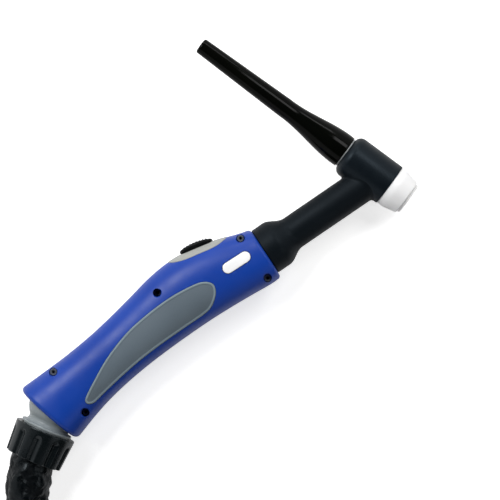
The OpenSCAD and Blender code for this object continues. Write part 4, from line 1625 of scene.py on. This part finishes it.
    def button_ribs(self, studio: Studio) -> Piece:
        """Makes the ribs across the button, repeated round its top.

        Args:
            studio: Where the material comes from.

        Returns:
            The ribs.
        """
        _, width, height = self.button
        dome = self.dome()
        step = math.degrees(self.rib_step / dome)
        w = Repeater("rib_row", Count=8.0, Step=step, Dome=dome, Rib=0.4, Width=width - 2.6)
        points = w.add("GeometryNodePoints", {"Count": w.given["Count"]}).outputs[0]
        index = w.add("GeometryNodeInputIndex").outputs[0]
        middle = w.math("MULTIPLY", w.math("SUBTRACT", w.given["Count"], 1.0), 0.5)
        angle = w.math("RADIANS", w.math("MULTIPLY", w.math("SUBTRACT", index, middle), w.given["Step"]))
        side, up = (w.math("MULTIPLY", w.math(part, angle), w.size("Dome")) for part in ("SINE", "COSINE"))
        moved = w.add("GeometryNodeSetPosition", {"Geometry": points, "Position": w.vector(side, up, 0.0)})
        ends = {end: w.vector(0.0, 0.0, w.size("Width", sign * 0.5 * MM)) for end, sign in (("Start", -1), ("End", 1))}
        bar = w.rod(w.add("GeometryNodeCurvePrimitiveLine", ends).outputs[0], w.size("Rib"), 16, True)
        carrier = point_carrier("rib_carrier", [Vector()])
        ribs = w.grow("button_ribs", bar, moved.outputs[0], studio.material("button"), carrier)
        for v in ribs.data.vertices:
            v.co = SWITCH.point(v.co.x / MM, v.co.y / MM + height - dome, v.co.z / MM) * MM
        ribs.data.update()
        return ribs

    def screw_heads(self, studio: Studio) -> Piece:
        """Makes the socket screws.

        Args:
            studio: Where the material comes from.

        Returns:
            All five screws.
        """
        w = Repeater("socket_screws", Head=2.05, Height=self.head_height, Socket=1.1, Shank=1.4, Length=9.0)
        cut = w.add("GeometryNodeMeshBoolean", operation="DIFFERENCE")
        head, hexagon = w.cylinder(40, "Head", "Height", 0.0), w.cylinder(6, "Socket", "Height", 0.5)
        w.set(cut, {"Mesh 1": head, "Mesh 2": hexagon})
        both = w.add("GeometryNodeJoinGeometry")
        for part in (cut.outputs[0], w.cylinder(24, "Shank", "Length", -0.5)):
            w.set(both, {0: part})
        height = self.screw_seat + self.head_height / 2 + 0.02
        seats = [NECK.point(*self.screw_at(screw, height)) for screw in self.screws]
        carrier = point_carrier("screw_seats", seats)
        screws = w.grow("socket_screws", both.outputs[0], w.given["Geometry"], studio.material("screw"), carrier)
        screws.data.set_sharp_from_angle(angle=math.radians(30))
        return screws


# ---------------------------------------------------------------- ball joint and collar
@dataclass
class BallJoint:
    """The grey ball with its flange, and the fluted collar nut below it."""

    ball: float = 17.0
    rear_cut: float = -0.53
    front_cut: float = 0.62
    flange: float = 16.3
    thread_pitch: float = 1.25
    spigot: float = 12.65
    collar_from: float = 16.65
    collar_length: float = 19.8
    collar_radius: float = 19.3
    collar_end: float = 17.9
    collar_bore: float = 15.4
    collar_shoulder: float = 32.4
    cover: float = 13.65

    def build(self, studio: Studio) -> None:
        """Builds and dresses the joint."""
        studio.settle(self.ball_piece(), Body.BALL, "ball", ("ball_joint",))
        studio.settle(self.collar(), Body.COLLAR, "collar", ("collar_nut",))
        studio.dress_nodes("collar", "clamp_ring")

    def ball_piece(self) -> Piece:
        """Returns ball, neck, flange, thread and spigot, with the bore through them."""
        r, flange = self.ball, self.flange
        low, high = math.acos(self.rear_cut), math.acos(self.front_cut)
        turns = [low + (high - low) * k / 40 for k in range(41)]
        profile: list[tuple[float, ...]] = [(r * math.cos(a), r * math.sin(a)) for a in turns]
        waist, neck, at = 0.765 * r, self.front_cut * r, 0.85 * r
        profile += [
            (neck + 0.7, waist + 0.15, 0.8),
            (neck + 1.7, waist, 1.4),
            (at - 0.5, waist + 0.9, 1.2),
            (at, flange - 1.2, 0.4),
            (at, flange, 0.35),
            (at + 1.3, flange, 0.3),
            (at + 1.3, flange - 1.1),
        ]
        crest, root = flange - 1.12, flange - 1.6
        for k in range(6):
            x = at + 1.5 + k * self.thread_pitch
            profile += [(x, crest), (x + 0.4, crest), (x + 0.65, root), (x + 0.95, root)]
        profile += [(at + 9.3, crest), (at + 9.3, self.spigot), (at + 11.6, self.spigot, 0.4), (at + 11.6, 9.9, 0.3)]
        profile += [(0, 6.65), (self.rear_cut * r, 11.56, 0.4)]
        return revolve("ball_and_flange", BALL, profile, 160, True)

    def collar(self) -> Piece:
        """Returns the tapering nut with its grip flutes."""
        start, end, mouth = self.collar_from, self.collar_from + self.collar_length, self.cover + 1.35
        outside = [(start, self.collar_bore, 0.2), (start, self.collar_radius, 0.5), (end, self.collar_end, 0.5)]
        outside.append((end, mouth, 0.3))
        inside = [(self.collar_shoulder, mouth), (self.collar_shoulder, self.collar_bore)]
        flutes = Flutes(10, start + 2.7, end + 20, 6.2, 1.6, 2.9, 0.6)
        return fluted("collar_grip_nut", BALL, outside, inside, flutes)


# ---------------------------------------------------------------- hose
@dataclass
class Hose:
    """The torch's hose in its sewn leather cover, coiled for storage.

    Attributes:
        coil_from: Angle at which the coil starts, in degrees.
        coil_half: Angle that each of its two layers runs through, in degrees.
        layer: How far the second layer lies over the first.
        lead: Knots from the torch to the coil.
        tail: Knots from the coil to the plug.
    """

    diameter: float = 27.3
    coil_radius: float = 163.0
    coil_from: float = 216.5
    coil_half: float = 792.0
    coil_centre: Pair = (176.0, -344.0)
    coil_pitch: float = 28.0
    layer: float = 27.8
    seam_step: float = 4.6
    sides: int = 48
    lead: tuple[tuple[float, float, float], ...] = (
        (-75.848, -257.969, 0), (-73.519, -268.053, 0), (-71.6, -274.8, -0.2), (-68.6, -281.7, -0.6),
        (-64.6, -288.6, -1.2), (-59.5, -296, -1.9), (-44, -317.8, -3.6), (-22, -348.5, -5.2), (2, -382, -6.4),
    )
    tail: tuple[tuple[float, float, float], ...] = (
        (338, -284, 15.5), (336, -254, 7.5), (333.4, -226, 3.7), (330.4, -198, 3.7),
    )

    def build(self, studio: Studio, plug: Sequence[Piece]) -> None:
        """Args:
            studio: Where its pieces are settled.
            plug: The plug's pieces; not used.
        """
        cover = self.cover()
        studio.settle(cover, Body.HOSE, "leather", ("hose_lead", "hose_coil", "hose_tail"))
        thread = studio.settle(self.stitches(studio), Body.HOSE, "thread")
        [c * MM for c in self.lead[0]]
        [[c * MM for c in p] for p in self.route()]

    def coil_point(self, t: float) -> Vector:
        """Works out a point of the two-layer coil.

        Args:
            t: How far the coil has turned, in degrees.

        Returns:
            The point.
        """
        inward = t if t < self.coil_half else 2 * self.coil_half - t
        radius = self.coil_radius - self.coil_pitch * inward / 360
        climb = self.layer * held((t - self.coil_half + 90) / 180)
        a = math.radians(self.coil_from + t)
        x, y = self.coil_centre
        return Vector((x + radius * math.cos(a), y + radius * math.sin(a), FLOOR_Z + self.diameter / 2 + climb))

    def route(self) -> list[Vector]:
        """Returns the hose's middle line."""
        span = 2 * self.coil_half
        a, b = math.radians(self.coil_from), math.radians(self.coil_from + span)
        enter = Vector((-math.sin(a), math.cos(a), 0))
        leave = Vector((-math.sin(b), math.cos(b), 0))
        first = self.coil_point(0) - self.diameter * enter
        last = self.coil_point(span) + self.diameter * leave
        rings = round(span / 15)
        coil = [self.coil_point(i * span / rings) for i in range(rings + 1)]
        lead, tail = ([Vector(p) for p in knots] for knots in (self.lead, self.tail))
        return [*lead, first - 4 * enter, first, *coil, last, last + 4 * leave, *tail]

    def stations(self) -> list[tuple[float, Vector, Vector]]:
        """Returns rows of distance run, point and direction along a smooth line through the route."""
        knots = self.route()
        fine: list[Vector] = []
        for i, (b, c) in enumerate(zip(knots, knots[1:])):
            a, d = knots[max(i - 1, 0)], knots[min(i + 2, len(knots) - 1)]
            steps = max(2, int((c - b).length / 0.8))
            before = (c - a).normalized() * (c - b).length
            after = (d - b).normalized() * (c - b).length
            for k in range(steps):
                t = k / steps
                h = (2 * t**3 - 3 * t**2 + 1, t**3 - 2 * t**2 + t, -2 * t**3 + 3 * t**2, t**3 - t**2)
                fine.append(b * h[0] + before * h[1] + c * h[2] + after * h[3])
        fine.append(knots[-1])
        rows: list[tuple[float, Vector, Vector]] = []
        last, run, due = len(fine) - 1, 0.0, 0.0
        near_step, near_length, far_step = 1.0, 95, 4.2
        for i, p in enumerate(fine):
            if i:
                run += (p - fine[i - 1]).length
            if run >= due or i == last:
                heading = (fine[min(i + 1, last)] - fine[max(i - 1, 0)]).normalized()
                rows.append((run, p, heading))
                due = run + (near_step if run < near_length else far_step)
        return rows

    def radius(self, run: float, angle: float, total: float) -> float:
        """Works out the cover's radius, with its bulge, folds, lean and lap.

        Args:
            run: Distance along the hose.
            angle: Angle round it.
            total: The hose's length.

        Returns:
            The radius there.
        """
        r = self.diameter / 2
        near = 1.0 / (1.0 + math.exp((run - 85) / 14))
        loose = held((run - 10.3) / 4) * held((total - run) / 12)
        x, y = math.cos(angle) * r, math.sin(angle) * r
        broad = noise.noise(Vector((x, y, run)) / 15 + Vector((3.1, 7.7, 0.4)))
        folds = noise.noise(Vector((x / 15, y / 15, run / 8.5 + 0.8 * math.sin(angle))))
        slant = noise.noise(Vector((x / 9, y / 9, (run + 5 * angle) / 6.5)) + Vector((9.0, 2.0, 5.0)))
        fine = noise.noise(Vector((x / 7, y / 7, run / 3.4)) + Vector((1.0, 4.0, 2.0)))
        crease = max(0.0, 1 - abs(folds) * 4.5) ** 1.5 + 0.45 * max(0.0, 1 - abs(slant) * 6) ** 1.5
        bulge = 0.9 * math.exp(-(((run - 19) / 11) ** 2))
        swell = (0.3 + 1.1 * near) * (0.8 * broad - 0.95 * crease + 0.3 * fine) - 0.05
        lap = 0.35 * max(0.0, 1 - abs(self.seam_offset(run, angle)) / 0.32) ** 0.5
        lean = -1.6 * math.cos(angle) * near * held((run - 11) / 12)
        return r + loose * (bulge + swell + lean + lap)

    def seam_angle(self, run: float) -> float:
        """Returns where the lap lies round the hose, from under it at the torch to its upper outside."""
        t = held((run - 60) / 420)
        return math.radians(-100 + 160 * t * t * (3 - 2 * t))

    def seam_offset(self, run: float, angle: float) -> float:
        """Returns the angle from the lap, from minus to plus half a turn."""
        return (angle - self.seam_angle(run) + math.pi) % math.tau - math.pi

    def around(self, heading: Vector, angle: float) -> Vector:
        """Returns the outward direction at an angle round the hose; 0 is its side and 90 degrees is up."""
        side = heading.cross(Vector((0, 0, 1))).normalized()
        return side * math.cos(angle) + side.cross(heading) * math.sin(angle)

    def cover(self) -> Piece:
        """Returns the leather cover as one tube with closed ends."""
        rows = self.stations()
        total = rows[-1][0]
        skin = Skin()
        skin.ring([rows[0][1]])
        for run, at, heading in rows:
            ring = [at + self.around(heading, a) * self.radius(run, a, total) for a in angles(self.sides)]
            for p in ring:
                p.z = max(p.z, FLOOR_Z)
            skin.ring(ring)
        skin.ring([rows[-1][1]])
        return skin.piece("leather_hose_cover", sharp=60.0)

    def stitches(self, studio: Studio) -> Piece:
        """Makes two rows of thread along the lap.

        Args:
            studio: Where the material comes from.

        Returns:
            All the stitches.
        """
        rows = self.stations()
        total = rows[-1][0]
        due, stop, apart = 21.0, total - 14, 0.17
        points, along, outward = [], [], []
        for (run, at, heading), (later, ahead, _) in zip(rows, rows[1:]):
            while due < later and due < stop:
                for off in (-apart, apart):
                    a = self.seam_angle(due) + off
                    out = self.around(heading, a)
                    place = at.lerp(ahead, (due - run) / (later - run)) + out * (self.radius(due, a, total) + 0.12)
                    place.z = max(place.z, FLOOR_Z + 0.5)
                    points.append(place)
                    along.append(heading)
                    outward.append(out)
                due += self.seam_step
        w = Repeater("stitch_rows", Length=3.0, Thread=0.38, Rise=0.75)
        low = -0.25 * MM
        arc = {
            "Resolution": 4,
            "Start": w.vector(w.size("Length", -0.5 * MM), 0.0, low),
            "Middle": w.vector(0.0, 0.0, w.size("Rise")),
            "End": w.vector(w.size("Length", 0.5 * MM), 0.0, low),
        }
        stitch = w.rod(w.add("GeometryNodeCurveQuadraticBezier", arc).outputs[0], w.size("Thread"), 6)
        up, ahead = (
            w.add("GeometryNodeInputNamedAttribute", {"Name": label}, data_type="FLOAT_VECTOR").outputs[0]
            for label in ("outward", "along")
        )
        turned = w.add("FunctionNodeAxesToRotation", {0: up, 1: ahead}, primary_axis="Z", secondary_axis="X")
        carrier = point_carrier("stitch_places", points, along=along, outward=outward)
        places, thread = w.given["Geometry"], studio.material("thread")
        return w.grow("hose_stitches", stitch, places, thread, carrier, Rotation=turned.outputs[0])


# ---------------------------------------------------------------- machine plug
@dataclass
class MachinePlug:
    """The hose's plug: boot, housing, union nut, contact, switch pins and seal."""

    cable: float = 13.75
    boot_length: float = 40.0
    housing_radius: float = 21.0
    housing_bore: float = 4.0
    length: float = 44.0
    nut_radius: float = 24.0
    nut_length: float = 24.0
    swivel: float = 16.0
    pin: float = 5.0
    pin_length: float = 18.0
    pin_flange: float = 14.0
    gas_bore: float = 2.0
    seal_groove: float = 18.0
    seal_section: float = 0.85

    @property
    def face(self) -> float:
        """Returns where the housing ends, from the boot's start."""
        return self.boot_length + self.length

    def build(self, studio: Studio) -> list[Piece]:
        """Builds and dresses the plug.

        Args:
            studio: Where its pieces are settled.

        Returns:
            Its pieces, which lie on the hose.
        """
        pieces = [
            studio.settle(self.contact(), Body.HOSE, "brass", ("plug_contact",)),
            studio.settle(self.seal(), Body.HOSE, "head_rubber", ("plug_seal",)),
            studio.settle(self.boot(), Body.HOSE, "black_plastic", ("plug_boot",)),
            studio.settle(self.housing(), Body.HOSE, "black_plastic", ("plug_housing",)),
            studio.settle(self.nut(), Body.PLUG_NUT, "collar", ("plug_nut",)),
        ]
        studio.dress_nodes("bare_steel", "plug_pins")
        return [*pieces[2:], *pieces[:2], studio.nodes["plug_pins"]]

    def boot(self) -> Piece:
        """Returns the ribbed boot that keeps the hose from kinking."""
        end = self.boot_length
        profile: list[tuple[float, ...]] = [(0, self.cable, 0.2), (0, 15.3, 0.6), (4, 16.2, 1.0)]
        for k in range(5):
            x, r = 6 + 6 * k, 16.0 + 0.7 * k
            profile += [(x, r + 0.2, 0.3), (x + 1.2, r + 1.05, 0.5), (x + 2.8, r + 1.05, 0.5)]
            profile += [(x + 4, r + 0.2, 0.3), (x + 5, r - 0.1, 0.4)]
        profile += [(end, self.housing_radius - 2.4, 0.3), (end, 0.0), (6, 0.0), (6, self.cable)]
        return revolve("plug_bend_guard", PLUG, profile, 96, True)

    def housing(self) -> Piece:
        """Returns the housing with its finger flutes."""
        start, end, r = self.boot_length, self.face, self.housing_radius
        rim, bore = self.swivel + 2.4, self.housing_bore
        outside = [(start, bore), (start, r, 2.0), (end, r, 1.0), (end, self.swivel), (end + 5, self.swivel)]
        outside += [(end + 5, rim, 0.3), (end + 7, rim, 0.4), (end + 7, bore)]
        return fluted("plug_grip_housing", PLUG, outside, [], Flutes(8, start + 5, end - 5, 6.0, 1.4, 1.8, 0.0))

    def nut(self) -> Piece:
        """Returns the union nut with its fine grip."""
        start, end, r = self.face, self.face + self.nut_length, self.nut_radius
        collar = self.swivel + 0.3
        outside = [(start + 0.3, collar, 0.2), (start + 0.3, r, 1.0), (end, r, 1.0), (end, r - 4, 0.3)]
        inside = [(start + 4.7, r - 4), (start + 4.7, collar)]
        return fluted("plug_union_nut", PLUG, outside, inside, Flutes(16, start + 3.4, end + 20, 3.8, 1.0, 1.2), 20)

    def contact(self) -> Piece:
        """Returns the turned brass contact with its gas bore."""
        at, bore = self.face + 7, self.gas_bore
        tip, groove, floor = at + 6 + self.pin_length, at + self.seal_groove, self.pin - 1.8
        profile = [(at, bore), (at, self.pin_flange, 0.4), (at + 6, self.pin_flange, 0.5), (at + 6, self.pin, 0.4)]
        profile += [(groove - 1, self.pin, 0.1), (groove - 1, floor), (groove + 1, floor), (groove + 1, self.pin, 0.1)]
        return revolve("plug_contact_pin", PLUG, [*profile, (tip, self.pin, 1.0), (tip, bore, 0.3)], 96, True)

    def seal(self) -> Piece:
        """Returns the contact's sealing ring."""
        at, mid, r = self.face + 7 + self.seal_groove, self.pin - 0.9, self.seal_section
        turns = [math.radians(a) for a in range(0, 360, 20)]
        return revolve("plug_seal_ring", PLUG, [(at + r * math.cos(a), mid + r * math.sin(a)) for a in turns], 64, True)


# ---------------------------------------------------------------- set
@dataclass(frozen=True)
class Lamp:
    """A soft panel.

    Attributes:
        name: The lamp's name.
        towards: Where it stands from the middle, to the right of the frame and up it.
        rise: Its height, on the same scale.
        away: Its distance.
        size: Its width and height.
        power: Its power in watts.
    """

    name: str
    towards: Pair
    rise: float
    away: float
    size: Pair
    power: float


LAMPS = (
    Lamp("key_panel", (-0.62, 0.5), 0.95, 1250, (700, 500), 12.0),
    Lamp("fill_panel", (0.75, -0.35), 0.75, 1500, (900, 700), 3.0),
    Lamp("rim_strip", (0.05, 0.95), 0.45, 1200, (900, 120), 3.5),
    Lamp("head_box", (0.6, 0.8), 1.25, 1250, (420, 420), 4.5),
)


@dataclass
class StageSet:
    """Camera, lamps, world, floor and black cards.

    Attributes:
        centre: Middle of the frame.
        roll: The camera's turn about its axis, in degrees.
        frame: Width that the frame takes in.
        distance: The camera's height over the torch's plane.
        floor_half: Half of the floor's width, in metres.
        card_half: Half of the upper card's width, in metres.
        card_rise: Its height, in metres.
        card_away: The side card's distance, in metres.
    """

    centre: Pair = (-42.6, -83.8)
    roll: float = 36.5
    frame: float = 310.0
    distance: float = 1550.0
    floor_half: float = 6.0
    card_half: float = 2.4
    card_rise: float = 1.9
    card_away: float = 2.3

    def build(self) -> None:
        """Builds the set."""
        scene = bpy.context.scene
        scene.view_settings.view_transform = "Standard"
        self.middle = Vector((*self.centre, 0))
        self.camera(scene)
        self.world(scene)
        self.floor()
        self.cards()
        for lamp in LAMPS:
            self.hang(lamp)

    def seen(self, right: float, up: float) -> Vector:
        """Returns a direction in the camera's frame as one in the row frame."""
        return Place(turn=self.roll).point(right, up)

    def camera(self, scene: bpy.types.Scene) -> None:
        """Makes the camera, which looks straight down on the torch."""
        data = bpy.data.cameras.new("top_camera")
        data.sensor_width = 36.0
        data.lens = data.sensor_width * self.distance / self.frame
        data.clip_start, data.clip_end = 0.01, 20.0
        camera = add_object("top_camera", data)
        camera.location = (self.middle + Vector((0, 0, self.distance))) * MM
        camera.rotation_euler = (0.0, 0.0, math.radians(self.roll))
        scene.camera = camera

    def world(self, scene: bpy.types.Scene) -> None:
        """Makes a white surround that lights softly."""
        world = bpy.data.worlds.new("white_surround")
        world.use_nodes = True
        world.node_tree.nodes.clear()
        w = Wiring(world.node_tree)
        rays = w.add("ShaderNodeLightPath").outputs
        seen = w.math("MAXIMUM", rays["Is Camera Ray"], rays["Is Glossy Ray"])
        seen = w.math("MAXIMUM", seen, rays["Is Transmission Ray"])
        back = w.add("ShaderNodeBackground", {"Color": WHITE, "Strength": w.remap(seen, 0.0, 1.0, 0.55, 1.0)})
        w.add("ShaderNodeOutputWorld", {"Surface": back.outputs[0]})
        scene.world = world

    def sheet(self, name: str, corners: Sequence[Vector], material: Material) -> Piece:
        """Makes a flat sheet of the set.

        Args:
            name: Its name.
            corners: Its corners, in metres.
            material: Its material.

        Returns:
            The sheet.
        """
        sheet = add_object(name, plain_mesh(name, corners, [(0, 1, 2, 3)]))
        sheet.data.materials.append(material)
        return sheet

    def square(self, half: float, z: float) -> list[Vector]:
        """Returns a level square's corners."""
        return [Vector((x * half, y * half, z)) for x, y in ((-1, -1), (1, -1), (1, 1), (-1, 1))]

    def floor(self) -> None:
        """Makes the plain pale floor, which keeps the object's shadow."""
        w = Paint("studio_paper")
        rays = w.add("ShaderNodeLightPath").outputs
        mirrored = w.math("MULTIPLY", w.math("MAXIMUM", rays["Is Glossy Ray"], rays["Is Transmission Ray"]), 0.15)
        strength = w.math("MULTIPLY_ADD", rays["Is Camera Ray"], 0.62, mirrored)
        glow = w.add("ShaderNodeEmission", {"Color": WHITE, "Strength": strength})
        both = w.add("ShaderNodeAddShader", {0: w.surface.outputs[0], 1: glow.outputs[0]})
        w.set(w.out, {"Surface": both.outputs[0]})
        material = w.finish(Base_Color=(0.86, 0.86, 0.86, 1), Roughness=0.9, Specular_IOR_Level=0.1)
        self.sheet("studio_floor", self.square(self.floor_half, FLOOR_Z * MM), material)

    def cards(self) -> None:
        """Hangs black cards over and beside the set, which keep the white surround out of dark surfaces."""
        material = Paint("black_card").finish(
            Base_Color=(0.015, 0.015, 0.016, 1), Roughness=0.95, Specular_IOR_Level=0.05
        )
        out, along = self.seen(1.0, -0.45).normalized(), self.seen(0.45, 1.0).normalized()
        foot = self.middle * MM + out * self.card_away
        corners = ((-1, 0.1), (1, 0.1), (1, self.card_rise), (-1, self.card_rise))
        beside = [foot + along * (side * 1.6) + Vector((0, 0, z)) for side, z in corners]
        for name, where in (("card_over", self.square(self.card_half, self.card_rise)), ("card_beside", beside)):
            self.sheet(name, where, material).visible_camera = False

    def hang(self, lamp: Lamp) -> None:
        """Hangs a lamp, turned to the middle of the frame."""
        data = bpy.data.lights.new(lamp.name, "AREA")
        data.shape = "RECTANGLE"
        data.size, data.size_y = lamp.size[0] * MM, lamp.size[1] * MM
        data.energy = lamp.power
        panel = add_object(lamp.name, data)
        direction = (self.seen(*lamp.towards) + Vector((0, 0, lamp.rise))).normalized()
        panel.location = (self.middle + direction * lamp.away) * MM
        panel.rotation_euler = direction.to_track_quat("Z", "Y").to_euler()


def main() -> None:
    """Builds the torch and its set in order."""
    logging.basicConfig(level=logging.INFO, format="%(message)s")
    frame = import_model()
    studio = Studio(frame["nodes"])
    StageSet().build()
    plug = MachinePlug().build(studio)
    Hose().build(studio, plug)
    BallJoint().build(studio)
    Head().build(studio)
    Handle().build(studio)


if __name__ == "__main__":
    main()
